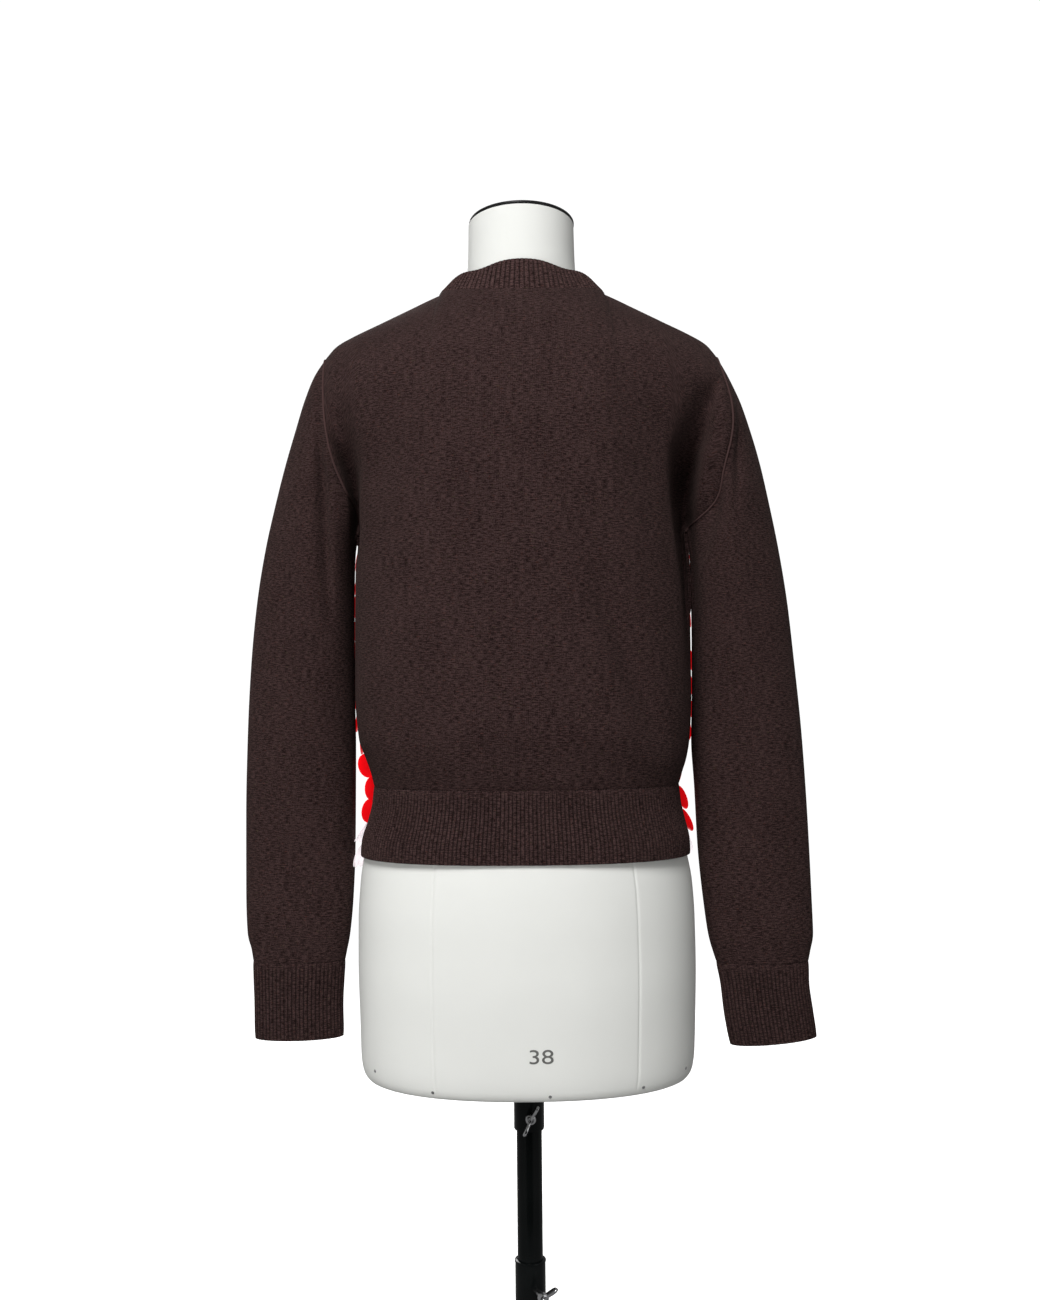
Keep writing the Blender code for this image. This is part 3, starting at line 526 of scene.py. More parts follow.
def ring(table, height, turn, roundness=BODY_ROUNDNESS):
    """Points round the body: a turn of 0 is the centre back and 90 the wearer's left."""
    across = np.sin(np.radians(turn))
    along = np.cos(np.radians(turn))
    left = read(table, BODY_COLUMNS, "left", height, "height")
    right_half = read(table, BODY_COLUMNS, "right", height, "height")
    behind = read(table, BODY_COLUMNS, "back", height, "height")
    before = read(table, BODY_COLUMNS, "front", height, "height")
    x = np.where(across >= 0, left, right_half) * power(across, 2 / roundness)
    y = np.where(along >= 0, behind, before) * power(along, 2 / roundness)
    return np.stack([x, y, np.broadcast_to(np.asarray(height, float), x.shape)], axis=-1)


def neck_loop(size, turn):
    across = np.sin(np.radians(turn))
    along = np.cos(np.radians(turn))
    depth = np.where(along >= 0, size["back"], size["front"])
    end_z = np.where(along >= 0, size["back_z"], size["front_z"])
    z = size["side_z"] + (end_z - size["side_z"]) * np.abs(along) ** 1.7
    return np.stack([size["side"] * across, depth * along, z], axis=-1)


def sleeve_ring(table, side, row, turn):
    """A turn of 0 is at the sleeve's outer edge, 90 at its back and 180 at its inner edge."""
    size = {name: read(table, SLEEVE_COLUMNS, name, row) for name in SLEEVE_COLUMNS}
    cosine = np.cos(np.radians(turn))
    sine = np.sin(np.radians(turn))
    x = (size["outer_x"] + size["inner_x"]) / 2 + (size["outer_x"] - size["inner_x"]) / 2 * cosine
    middle_z = (size["outer_z"] + size["inner_z"]) / 2
    low = LOW_BOW[side] * np.clip((middle_z - LOW_BOW_FROM) / LOW_BOW_RUN, 0, 1)
    from_top = np.degrees(np.arccos(np.clip(cosine, -1, 1)))
    near_low = np.exp(-(((from_top - LOW_BOW_TURN) / LOW_BOW_WIDTH) ** 2))
    x = x + size["bow"] * np.abs(sine) ** BOW_POWER + low * near_low
    z = middle_z + (size["outer_z"] - size["inner_z"]) / 2 * cosine
    return np.stack([side * x, size["centre"] + size["half_depth"] * sine, z], axis=-1)


print("chest ring:", ring(BODY, UNDERARM, np.array([0.0, 90.0])).round(1).tolist())

# %% [markdown]
# ## Folds pressed
# Thick fine knit makes few folds, and they are soft: a long crease down each sleeve head, a
# hollow beside each armhole, slanting troughs from the chest to the waist and a puff above the
# hem. A cloth simulation would put them elsewhere, so each is one line of a table: a trough
# (or with a minus sign a ridge) between two places, with its width and depth. The wide ones
# come first and are in the solid too; the narrow ones below sharpen them.

# %% The folds, from place to place as seen from behind
# The largest folds, as soft troughs on a piece's back or front: the piece, x and z where a
# trough starts, x and z where it ends, its half width and its depth.
FOLDS = [
    ("back", -52.0, 1165.0, -134.0, 948.0, 17.0, 6.0),
    ("back", -128.0, 1300.0, -136.0, 1060.0, 26.0, 4.0),
    ("back", 138.0, 1290.0, 144.0, 1080.0, 24.0, 3.5),
    ("back", 176.0, 1300.0, 162.0, 1215.0, 12.0, 7.0),
    ("back", -186.0, 1290.0, -160.0, 1200.0, 13.0, 9.0),
    ("back", -159.0, 1235.0, -161.0, 1010.0, 9.0, 12.0),
    ("back", 84.0, 966.0, -96.0, 962.0, 15.0, 3.5),
    ("front", 52.0, 1150.0, 128.0, 958.0, 20.0, 5.0),
    ("front", -46.0, 1120.0, -122.0, 962.0, 20.0, 5.0),
    ("front", 172.0, 1300.0, 160.0, 1210.0, 13.0, 7.0),
    ("front", -170.0, 1300.0, -154.0, 1200.0, 14.0, 8.0),
    ("left_sleeve", 203.0, 1310.0, 193.0, 1105.0, 12.0, 6.0),
    ("right_sleeve", -211.0, 1290.0, -206.0, 1215.0, 10.0, 5.0),
]
CREASES = [
    # the back swells a little before it turns away beside each armhole
    ("back", -132.0, 1275.0, -130.0, 1160.0, 9.0, -2.0),
    ("back", 150.0, 1290.0, 152.0, 1140.0, 10.0, -2.0),
    # broad slack over the shoulder blades and down to the puff above the hem
    ("back", -20.0, 1330.0, 60.0, 1270.0, 40.0, -1.8),
    ("back", 96.0, 1345.0, 130.0, 1240.0, 22.0, 1.6),
    ("back", -98.0, 1345.0, -128.0, 1250.0, 22.0, 1.6),
    ("back", -60.0, 1100.0, -112.0, 1000.0, 12.0, -1.6),
    ("back", -56.0, 1150.0, -132.0, 952.0, 13.0, 4.5),
    ("back", 30.0, 1060.0, 66.0, 985.0, 22.0, 1.3),
    ("back", 60.0, 985.0, 0.0, 978.0, 16.0, -1.4),
    ("back", 130.0, 1010.0, 112.0, 950.0, 12.0, 1.6),
    ("back", -30.0, 975.0, -92.0, 985.0, 14.0, -1.2),
    ("back", 66.0, 950.0, -118.0, 948.0, 9.0, 3.0),
    ("front", 186.0, 1280.0, 168.0, 1195.0, 5.0, 3.2),
    ("front", -184.0, 1282.0, -166.0, 1194.0, 5.0, 3.6),
    ("front", 96.0, 1330.0, 140.0, 1235.0, 20.0, 2.0),
    ("front", -94.0, 1330.0, -138.0, 1240.0, 20.0, 2.0),
    ("front", 84.0, 1080.0, 122.0, 960.0, 9.0, 2.2),
    ("front", -60.0, 1050.0, -112.0, 958.0, 9.0, 2.0),
    ("front", 60.0, 965.0, -70.0, 962.0, 14.0, 2.6),
    # the sleeves' long creases outside the seam, and slack near the cuffs
    ("left_sleeve", 199.0, 1348.0, 190.0, 1080.0, 5.0, 8.0),
    ("left_sleeve", 186.0, 1215.0, 184.0, 1120.0, 7.0, -2.4),
    ("left_sleeve", 232.0, 1210.0, 236.0, 1020.0, 16.0, 1.4),
    ("left_sleeve", 200.0, 930.0, 214.0, 800.0, 14.0, 1.2),
    ("left_sleeve", 246.0, 815.0, 204.0, 800.0, 10.0, 1.0),
    ("right_sleeve", -210.0, 1325.0, -206.0, 1190.0, 4.0, 5.0),
    ("right_sleeve", -222.0, 1240.0, -230.0, 1050.0, 15.0, 1.6),
    ("right_sleeve", -178.0, 1120.0, -182.0, 980.0, 8.0, 1.4),
    ("right_sleeve", -206.0, 930.0, -222.0, 800.0, 14.0, 1.2),
    ("right_sleeve", -254.0, 812.0, -212.0, 798.0, 10.0, 1.0),
]


def fold(points, piece, facing, table):
    """Presses a table's folds into points on a piece's back (facing 1) or front (facing -1)."""
    pressed = np.zeros(points.shape[:-1])
    for name, from_x, from_z, to_x, to_z, half_width, depth in table:
        if name != piece:
            continue
        start = np.array([from_x, from_z])
        run = np.array([to_x - from_x, to_z - from_z])
        offset = points[..., [0, 2]] - start
        share = np.clip(offset @ run / (run @ run), 0, 1)
        away = np.linalg.norm(offset - share[..., None] * run, axis=-1)
        taper = np.sin(np.pi * np.clip(share, 0.02, 0.98)) ** 0.7
        pressed += depth * taper * np.exp(-((away / half_width) ** 2))
    points = points.copy()
    points[..., 1] -= facing * pressed
    return points


# The hollow beside each armhole, height by height: where its middle is, how far it reaches
# towards the body's middle and towards the sleeve, its depth and how abruptly it starts.
HOLLOW_COLUMNS = ("height", "x", "inwards", "outwards", "depth", "abrupt")
LEFT_HOLLOW = [
    (1150.0, 164.5, 3.5, 5.0, 0.0, 3.0),
    (1178.0, 164.5, 3.5, 5.0, 30.0, 3.0),
    (1203.0, 165.0, 4.0, 4.0, 34.0, 3.0),
    (1225.0, 167.0, 7.5, 5.5, 30.0, 3.0),
    (1246.0, 171.0, 11.0, 8.0, 22.0, 2.5),
    (1270.0, 177.0, 13.0, 9.0, 11.0, 2.0),
    (1300.0, 184.0, 14.0, 9.0, 4.0, 2.0),
    (1325.0, 190.0, 12.0, 9.0, 0.0, 2.0),
]
RIGHT_HOLLOW = [
    (1015.0, 163.0, 4.0, 6.0, 0.0, 3.0),
    (1060.0, 162.0, 6.0, 8.0, 10.0, 4.0),
    (1110.0, 161.0, 8.0, 10.0, 26.0, 5.0),
    (1165.0, 158.0, 12.0, 10.0, 38.0, 6.0),
    (1211.0, 156.0, 14.5, 12.0, 44.0, 6.0),
    (1248.0, 158.5, 16.5, 13.5, 36.0, 4.5),
    (1272.0, 167.0, 15.0, 13.5, 23.0, 2.5),
    (1300.0, 178.0, 16.0, 9.0, 14.0, 2.0),
    (1328.0, 190.0, 12.0, 5.0, 0.0, 2.0),
]


HOLLOW_FROM, HOLLOW_RUN = 6.0, 22.0
FRONT_SHARE = 0.5
FRONT_RUN = 20.0
OUTER_ABRUPT = 1.5


def hollow(points):
    """Presses the hollows into the back, and half as far into the front."""
    points = points.copy()
    x, y, z = np.moveaxis(points, -1, 0)
    pressed = np.zeros(x.shape)
    for side, table in ((1, LEFT_HOLLOW), (-1, RIGHT_HOLLOW)):
        size = {name: read(table, HOLLOW_COLUMNS, name, z, "height") for name in HOLLOW_COLUMNS}
        away = side * x - size["x"]
        far = np.abs(away) / np.where(away > 0, size["outwards"], size["inwards"])
        pressed += size["depth"] * np.exp(-(far ** (size["abrupt"] + OUTER_ABRUPT * (away > 0))))
    behind = np.clip((y - HOLLOW_FROM) / HOLLOW_RUN, 0, 1)
    before = np.clip((-y - HOLLOW_FROM) / HOLLOW_RUN, 0, 1)
    before = before * np.clip((z - UNDERARM) / FRONT_RUN, 0, 1) * FRONT_SHARE
    points[..., 1] += pressed * (before - behind)
    return points


print("folds:", len(FOLDS), "wide and", len(CREASES), "narrow, and 2 hollows")

# %% [markdown]
# ## From a grid to a thin shell
# Knitted cloth has two faces and an edge that can be seen at the open neck, hem and cuffs. A
# grid of outer points and the same grid moved inwards are joined at their rims into one closed
# mesh. Its "cloth" map is measured along the grid's own rows and columns.


# %% Close a grid into a shell with its cloth map
def normals_of(grid, closed):
    up_step = np.gradient(grid, axis=0)
    if closed:
        side_step = np.roll(grid, -1, axis=1) - np.roll(grid, 1, axis=1)
    else:
        side_step = np.gradient(grid, axis=1)
    return unit(np.cross(side_step, up_step))


def cloth_places(grid, closed):
    """Metres across and along the cloth for each point, with one more column on a tube."""
    round_grid = np.concatenate([grid, grid[:, :1]], axis=1) if closed else grid
    across = np.linalg.norm(np.diff(round_grid, axis=1), axis=2)
    across = np.concatenate([np.zeros((len(grid), 1)), np.cumsum(across, axis=1)], axis=1)
    across -= across[:, [across.shape[1] // 2]]
    along = np.linalg.norm(np.diff(round_grid, axis=0), axis=2)
    along = np.concatenate([np.zeros((1, along.shape[1])), np.cumsum(along, axis=0)])
    return np.stack([across, along], axis=-1) * MM


def mesh_from(name, points, faces, finish, maps=None, caps=(), sharp=60.0):
    """A smooth-shaded object from points in millimetres, four-cornered faces and a few larger
    ones as caps, all turned outwards."""
    points = np.asarray(points, float)
    fans = [(face[0], face[k], face[k + 1]) for face in caps for k in range(1, len(face) - 1)]
    quads = np.asarray(faces)
    fans = np.array(fans, int).reshape(-1, 3)
    volume = 0.0
    for a, b, c in (quads[:, [0, 1, 2]].T, quads[:, [0, 2, 3]].T, fans.T):
        volume += (points[a] * np.cross(points[b], points[c])).sum()
    order = -1 if volume < 0 else 1
    mesh = bpy.data.meshes.new(name)
    polygons = quads[:, ::order].tolist() + [list(cap)[::order] for cap in caps]
    mesh.from_pydata((points * MM).tolist(), [], polygons)
    if maps is not None:
        layer = mesh.uv_layers.new(name="cloth")
        flat = [np.asarray(maps, float)[:, ::order].ravel()]
        flat += [np.zeros(2 * len(cap)) for cap in caps]
        layer.data.foreach_set("uv", np.concatenate(flat))
    mesh.shade_smooth()
    mesh.set_sharp_from_angle(angle=math.radians(sharp))
    mesh.materials.append(finish)
    made = bpy.data.objects.new(name, mesh)
    bpy.context.scene.collection.objects.link(made)
    return made


def shell(name, outer, inner, closed, finish, places=None):
    """A closed thin shell between two grids of the same size."""
    rows, columns = outer.shape[:2]
    index = np.arange(rows * columns).reshape(rows, columns)
    if closed:
        index = np.concatenate([index, index[:, :1]], axis=1)
    under = index + rows * columns
    places = cloth_places(outer, closed) if places is None else places

    def quads(first, second, first_map, second_map):
        """Strips between two lines of points, with their map."""
        faces = np.stack([first[:-1], first[1:], second[1:], second[:-1]], axis=-1)
        corners = np.stack([first_map[:-1], first_map[1:], second_map[1:], second_map[:-1]], axis=1)
        return faces, corners

    strips = []
    for i in range(rows - 1):
        strips.append(quads(index[i], index[i + 1], places[i], places[i + 1]))
        strips.append(quads(under[i + 1], under[i], places[i + 1], places[i]))
    strips.append(quads(under[0], index[0], places[0], places[0]))
    strips.append(quads(index[-1], under[-1], places[-1], places[-1]))
    if not closed:
        strips.append(quads(index[:, 0], under[:, 0], places[:, 0], places[:, 0]))
        strips.append(quads(under[:, -1], index[:, -1], places[:, -1], places[:, -1]))
    faces = np.concatenate([strip[0] for strip in strips])
    maps = np.concatenate([strip[1] for strip in strips])
    points = np.concatenate([outer.reshape(-1, 3), inner.reshape(-1, 3)])
    return mesh_from(name, points, faces, finish, maps)


def half_area(thing):
    """The area of one face of a shell, in square metres."""
    return sum(face.area for face in thing.data.polygons) / 2


print("shell wall:", WALL, "mm")

# %% [markdown]
# ## The back and the front
# A knitter makes two flat pieces and links them at the shoulders and down the sides. Each is
# one open grid here, from the hem ribbing up to the shoulder seam and the neckline. Below the
# underarm the rows are rings of the body. Above it they lean in to the shoulder, and the
# grid's two edges follow the armholes.

# %% Knit the two body pieces
PANEL_COLUMNS = 176
LOWER_ROWS = 84
ARMHOLE_ROWS = 92
PANEL_LEAN = {1: 3.2, -1: 2.3}
SHOULDER_LEAN = 6.5
ARMHOLE_SPREAD = 3.0
UNDERARM_SPREAD = 14.0
SIDE_CALM, END_CALM = 6.0, 8.0
EDGE_SINK = 0.3


def panel_grid(facing):
    """A body piece's outer face as rows of points. Folds fade out at its seams."""
    across = np.linspace(-1, 1, PANEL_COLUMNS + 1)
    turn = 90 * across if facing > 0 else 180 - 90 * across
    heights = BODY[0][0] + (UNDERARM - BODY[0][0]) * np.linspace(0, 1, LOWER_ROWS + 1) ** 1.2
    lower = np.array([ring(BODY, height, turn) for height in heights])
    share = np.clip((np.abs(across) - NECK_SHARE) / (1 - NECK_SHARE), 0, 1)
    reach = NECK_BASE["side"] + share * (SHOULDER[-1][0] - NECK_BASE["side"])
    tip = np.where(across > 0, LEFT_SLEEVE[0][0], RIGHT_SLEEVE[0][0])
    scale = 1 + (tip / SHOULDER[-1][0] - 1) * share
    drop = np.where(across > 0, 0.0, RIGHT_SLEEVE[0][1] - LEFT_SLEEVE[0][1]) * share
    seam_z = read(SHOULDER, SHOULDER_COLUMNS, "height", reach, "reach") + drop
    seam = np.stack([np.sign(across) * reach * scale, np.zeros(len(across)), seam_z], axis=-1)
    neck_turn = np.clip(across / NECK_SHARE, -1, 1) * 90
    neck = neck_loop(NECK_BASE, neck_turn if facing > 0 else 180 - neck_turn)
    top = np.where((np.abs(across) <= NECK_SHARE + 1e-6)[:, None], neck, seam)
    base = lower[-1]
    toward = np.clip((np.abs(across) - 0.1) / 0.6, 0, 1)
    lean = PANEL_LEAN[facing] + (SHOULDER_LEAN - PANEL_LEAN[facing]) * toward
    upper = []
    for v in (1 - np.cos(np.linspace(0, np.pi, ARMHOLE_ROWS + 1)[1:])) / 2:
        weight = np.stack([np.full(len(lean), v), v**lean, np.full(len(lean), v)], axis=-1)
        row = base * (1 - weight) + top * weight
        turn_on = np.degrees(np.arccos(np.clip(2 * v - 1, -1, 1)))
        for side, end, table in ((1, -1, LEFT_SLEEVE), (-1, 0, RIGHT_SLEEVE)):
            edge = sleeve_ring(table, side, 0, turn_on if facing > 0 else 360 - turn_on)
            spread = ARMHOLE_SPREAD + UNDERARM_SPREAD * (1 - v) ** 4
            pull = np.clip(across * side, 0, 1) ** spread
            row = row + pull[:, None] * (edge - row[end])
        upper.append(row)
    grid = np.concatenate([lower, np.array(upper)])
    piece = "back" if facing > 0 else "front"
    flat = fold(fold(grid, piece, facing, FOLDS), piece, facing, CREASES)
    rows = np.linspace(0, 1, len(grid))[:, None]
    calm = np.clip(SIDE_CALM * (1 - np.abs(across)), 0, 1) * np.clip(END_CALM * rows, 0, 1)
    calm = calm * np.clip(END_CALM * (1 - rows), 0, 1)
    grid = grid + (flat - grid) * calm[..., None]
    return hollow(grid)


def rolled_in(grid, normal, columns=True):
    """Sinks the outermost points a little, as a linked seam pulls its edges in."""
    depth = np.zeros(grid.shape[:2])
    depth[0], depth[-1] = EDGE_SINK, EDGE_SINK
    if columns:
        depth[:, 0], depth[:, -1] = EDGE_SINK, EDGE_SINK
    return grid - normal * depth[..., None]


def panel_normals(grid, facing):
    """Outward on a panel: towards +Y on the back (facing 1), towards -Y on the front (-1)."""
    normal = normals_of(grid, False)
    return normal * facing * np.sign(normal[..., 1].sum())


def panel(name, facing):
    grid = panel_grid(facing)
    normal = panel_normals(grid, facing)
    outer = rolled_in(grid, normal)
    return shell(name, outer, outer - normal * WALL, False, knit)


back_knit = panel("back_knit", 1)
front_knit = panel("front_knit", -1)
for thing in (back_knit, front_knit):
    print(thing.name, "one face, m2:", round(half_area(thing), 4))

# %% [markdown]
# ## Sleeves
# A set-in sleeve is a tapered tube with a rounded head, sewn round the armhole. Nothing fills
# it, so it hangs flat, with its broad face to the back. Its rings tilt from the slanting
# armhole to the level cuff, and its own long crease falls from the back of the shoulder.

# %% Knit the sleeves
SLEEVE_COLUMNS_ROUND = 104
SLEEVE_ROWS = 210
SLEEVE_CALM = 5.0
HEAD_FROM, HEAD_RUN = 0.55, 0.2


def sleeve(name, table, side, piece):
    turn = side * np.arange(SLEEVE_COLUMNS_ROUND) * 360 / SLEEVE_COLUMNS_ROUND
    rows = np.linspace(0, len(table) - 1, SLEEVE_ROWS)[::-1]
    grid = np.array([sleeve_ring(table, side, row, turn) for row in rows])
    facing = np.sin(np.radians(turn))
    calm = np.clip(SLEEVE_CALM * (1 - np.abs(np.linspace(-1, 1, len(grid)))), 0, 1)
    for sign in (1, -1):
        pressed = fold(fold(grid, piece, sign, FOLDS), piece, sign, CREASES) - grid
        part = np.clip(facing * sign * 3, 0, 1)
        grid = grid + pressed * (calm[:, None] * part[None, :])[..., None]
    near = np.clip((np.linspace(0, 1, len(grid)) - HEAD_FROM) / HEAD_RUN, 0, 1)[:, None, None]
    grid = grid + (hollow(grid) - grid) * near
    normal = normals_of(grid, True)
    centre = grid.mean(axis=1, keepdims=True)
    normal = normal * np.sign(((grid - centre) * normal).sum())
    outer = rolled_in(grid, normal, False)
    return shell(name, outer, outer - normal * WALL, True, knit)


left_sleeve_knit = sleeve("left_sleeve_knit", LEFT_SLEEVE, 1, "left_sleeve")
right_sleeve_knit = sleeve("right_sleeve_knit", RIGHT_SLEEVE, -1, "right_sleeve")
print("one face of a sleeve, m2:", round(half_area(left_sleeve_knit), 4))

# %% [markdown]
# ## Ribbing
# Rib knit alternates raised and sunken columns of stitches, which is what lets it stretch. At
# the hem, cuffs and neck the columns are wide enough to catch the light, so they are real
# relief: eight points across each rib, over a plain inside.

# %% Knit the ribbed hem, cuffs and neckband
RIB_RELIEF = 1.1
RIB_SHARPNESS = 0.7
RIB_MIDDLE = 0.55
NECK_DIP = 4.2
NECK_DIP_TURN, NECK_DIP_WIDTH = 55.0, 16.0
POINTS_A_RIB = 8


def ribbed(name, rows, loop, ribs, finish):
    """A ring of ribbing. loop(row, turn) gives the middle of its outer face."""
    count = POINTS_A_RIB * ribs
    fine = np.linspace(0, 360, 1441)
    path = loop(rows[len(rows) // 2], fine)
    length = np.concatenate([[0], np.cumsum(np.linalg.norm(np.diff(path, axis=0), axis=1))])
    turns = np.interp(np.arange(count) / count * length[-1], length, fine)
    middle = np.array([loop(row, turns) for row in rows])
    normal = normals_of(middle, True)
    centre = middle.mean(axis=1, keepdims=True)
    normal = normal * np.sign(((middle - centre) * normal).sum())
    phase = np.arange(count) % POINTS_A_RIB / POINTS_A_RIB
    wave = np.abs(np.cos(np.pi * phase)) ** RIB_SHARPNESS - RIB_MIDDLE
    fade = np.clip(np.minimum(np.arange(len(rows)), np.arange(len(rows))[::-1]) / 1.5, 0.35, 1)
    relief = wave[None, :] * fade[:, None] * RIB_RELIEF
    outer = middle + normal * relief[..., None]
    outer[0] -= normal[0] * EDGE_SINK
    outer[-1] -= normal[-1] * EDGE_SINK
    places = cloth_places(middle, True)
    places[..., 0] = np.arange(count + 1) / POINTS_A_RIB * RIB
    return shell(name, outer, middle - normal * (WALL + RIB_RELIEF * 0.3), True, finish, places)


def hem_loop(height, turn):
    return ring(HEM, height, -turn)


def neck_band(share, turn):
    """From the neckline to the band's top, which dips between the centre back and the sides."""
    low = neck_loop(NECK_BASE, -turn)
    high = neck_loop(NECK_TOP, -turn)
    behind = 90 - np.abs((turn + 180) % 360 - 180)
    high[..., 2] -= NECK_DIP * np.exp(-(((behind - NECK_DIP_TURN) / NECK_DIP_WIDTH) ** 2))
    return low + (high - low) * share


hem_rows = np.linspace(HEM[0][0], HEM[-1][0] + 0.2, 14)
hem_knit = ribbed("hem_knit", hem_rows, hem_loop, HEM_RIBS, hem_rib_knit)
neck_knit = ribbed("neck_knit", np.linspace(0.0, 1.0, 12), neck_band, NECK_RIBS, lit_neck_rib_knit)


def cuff(name, table, side):
    def loop(row, turn):
        return sleeve_ring(table, side, row, side * (turn - 180))

    return ribbed(name, np.linspace(len(table) - 1, 0, 16), loop, CUFF_RIBS, cuff_rib_knit)


left_cuff_knit = cuff("left_cuff_knit", LEFT_CUFF, 1)
right_cuff_knit = cuff("right_cuff_knit", RIGHT_CUFF, -1)
for thing in (hem_knit, neck_knit, left_cuff_knit, right_cuff_knit):
    print(thing.name, "one face, m2:", round(half_area(thing), 4))

# %% [markdown]
# ## Linked seams
# Where two knitted pieces are linked there is a low welt of loops. Round the armhole it catches
# the light as a thin ridge, and its yarn is painted lighter, a painted highlight along it. It is
# a slim tube along the same curve that both edges end on.


# %% Run a low welt along each seam
def tube(name, path, radius, finish, closed=False, sides=8):
    """A round tube along a line of points in millimetres."""
    path = np.asarray(path, float)
    step = np.roll(path, -1, axis=0) - np.roll(path, 1, axis=0)
    along = unit(step if closed else np.gradient(path, axis=0))
    aside = unit(np.cross(along, np.array([0.13, 0.31, 0.94])))
    over = np.cross(along, aside)
    angle = np.arange(sides) * 2 * np.pi / sides
    round_about = [aside * math.cos(a) + over * math.sin(a) for a in angle]
    grid = path[:, None, :] + np.stack(round_about, axis=1) * radius
    points = grid.reshape(-1, 3)
    count = len(path)
    faces = []
    for i in range(count if closed else count - 1):
        j = (i + 1) % count
        for k in range(sides):
            m = (k + 1) % sides
            faces.append((i * sides + k, i * sides + m, j * sides + m, j * sides + k))
    ends = [] if closed else [range(sides), [(count - 1) * sides + k for k in range(sides)][::-1]]
    return mesh_from(name, points, faces, finish, caps=ends)


def joined(name, things):
    """Joins meshes into one piece."""
    shape = bmesh.new()
    for thing in things:
        shape.from_mesh(thing.data)
    mesh = bpy.data.meshes.new(name)
    shape.to_mesh(mesh)
    shape.free()
    for finish in things[0].data.materials:
        mesh.materials.append(finish)
    for thing in things:
        bpy.data.objects.remove(thing, do_unlink=True)
    made = bpy.data.objects.new(name, mesh)
    bpy.context.scene.collection.objects.link(made)
    return made


WELT = 1.0
THIN_WELT = WELT * 0.7
ARMHOLE_SWELL = (1.0, 1.025, 1.0)
ARMHOLE_DROP = (0.0, 0.0, 0.6)
seams = []
armhole_turn = np.arange(0.0, 360.0, 2.0)
for table, side in ((LEFT_SLEEVE, 1), (RIGHT_SLEEVE, -1)):
    armhole = hollow(sleeve_ring(table, side, 0, armhole_turn))
    armhole = armhole * ARMHOLE_SWELL - ARMHOLE_DROP
    seams.append(tube("armhole_seam", armhole, WELT, seam_highlight_knit, closed=True))
side_heights = np.linspace(BODY[0][0] + 1.0, UNDERARM - 1.0, 60)
for turn in (90.0, 270.0):
    down = np.array([ring(BODY, height, np.array([turn]))[0] for height in side_heights])
    seams.append(tube("side_seam", down, THIN_WELT, seam_highlight_knit))
for side, tip in ((1, LEFT_SLEEVE[0]), (-1, RIGHT_SLEEVE[0])):
    reach = np.linspace(NECK_BASE["side"], SHOULDER[-1][0], 40)
    share = (reach - reach[0]) / (reach[-1] - reach[0])
    x = side * reach * (1 + (tip[0] / SHOULDER[-1][0] - 1) * share)
    z = read(SHOULDER, SHOULDER_COLUMNS, "height", reach, "reach")
    z = z + (tip[1] - LEFT_SLEEVE[0][1]) * share
    line = np.stack([x, 0 * x, z - EDGE_SINK], axis=-1)
    seams.append(tube("shoulder_seam", line, THIN_WELT, seam_highlight_knit))
seam_welts = joined("seam_welts", seams)
print("seam welts:", len(seam_welts.data.polygons), "faces")

# %% [markdown]
# ## Sequins
# Each sequin is a thin dished disc, sewn on by one hole near its rim, so it hangs and overlaps
# the one below like a roof tile. From behind only the outermost of a few rows show, red ones
# beside the waist and pale ones beside the hem ribbing: those rows start right at the side
# seams and lean out a little. A few hundred discs are one mesh, because they never move apart.

# %% Hang the sequins on the front
SEQUIN_RADIUS = 12.4
SEQUIN_HOLE = 1.0
SEQUIN_DISH = 1.3
SEQUIN_THICK = 0.35
SEQUIN_POINTS = 20
SEQUIN_PITCH = 21.5
ROW_PITCH = 23.0
LOWEST_ROW = 866.5
SEQUIN_ROWS = 21
PALE_ROWS = 2
LEFT_ROWS = 5
FLARE_LEFT, FLARE_PALE = 40.0, 6.0
FLARE_RIGHT = 14.0
FLARE_TURN = 16.0
RIGHT_TUCK = {2: 10.0, 3: 5.5}
LEFT_TUCK, LEFT_STAGGER = 3.0, 0.8
SIDE_MARGIN, TOP_MARGIN = 24.0, 26.0
ROW_SLANT = 13.0
HEIGHT_SCATTER, ANGLE_SCATTER = 0.5, 5.0
TILT, TILT_SCATTER = 9.0, 3.0
HOLE_LIFT = 1.9


def sequin():
    """A disc hanging from a hole at the origin, its face towards +Z and down towards -Y."""
    angle = np.arange(SEQUIN_POINTS) * 2 * np.pi / SEQUIN_POINTS
    rim = np.stack([np.sin(angle), np.cos(angle)], axis=-1)
    centre = np.array([0.0, -(SEQUIN_RADIUS - 3.0)])
    points = []
    for layer in (0.0, -SEQUIN_THICK):
        for share in (0.0, 0.4, 0.8, 1.0):
            flat = rim * SEQUIN_HOLE * (1 - share) + (centre + rim * SEQUIN_RADIUS) * share
            far = np.linalg.norm(flat - centre, axis=1) / SEQUIN_RADIUS
            lift = SEQUIN_DISH * (far**2 - 0.6) + layer
            points.append(np.column_stack([flat, lift]))
    points = np.array(points)
    faces = []
    n = SEQUIN_POINTS
    loops = [0, 1, 2, 3, 7, 6, 5, 4, 0]
    for first, second in zip(loops, loops[1:]):
        for k in range(n):
            m = (k + 1) % n
            faces.append((first * n + k, first * n + m, second * n + m, second * n + k))
    return points.reshape(-1, 3), np.array(faces)


def front_point(turn, height):
    """A point of the sweater's front from the hem up, and the way it faces."""
    table = HEM if height < HEM[-1][0] else BODY
    spots = ring(table, height, np.array([turn - 0.5, turn, turn + 0.5]))
    above_it = ring(table, height + 2.0, np.array([turn]))[0]
    out = unit(np.cross(spots[2] - spots[0], above_it - spots[1]))
    return spots[1], out if np.dot(out, spots[1] * (1, 1, 0)) > 0 else -out


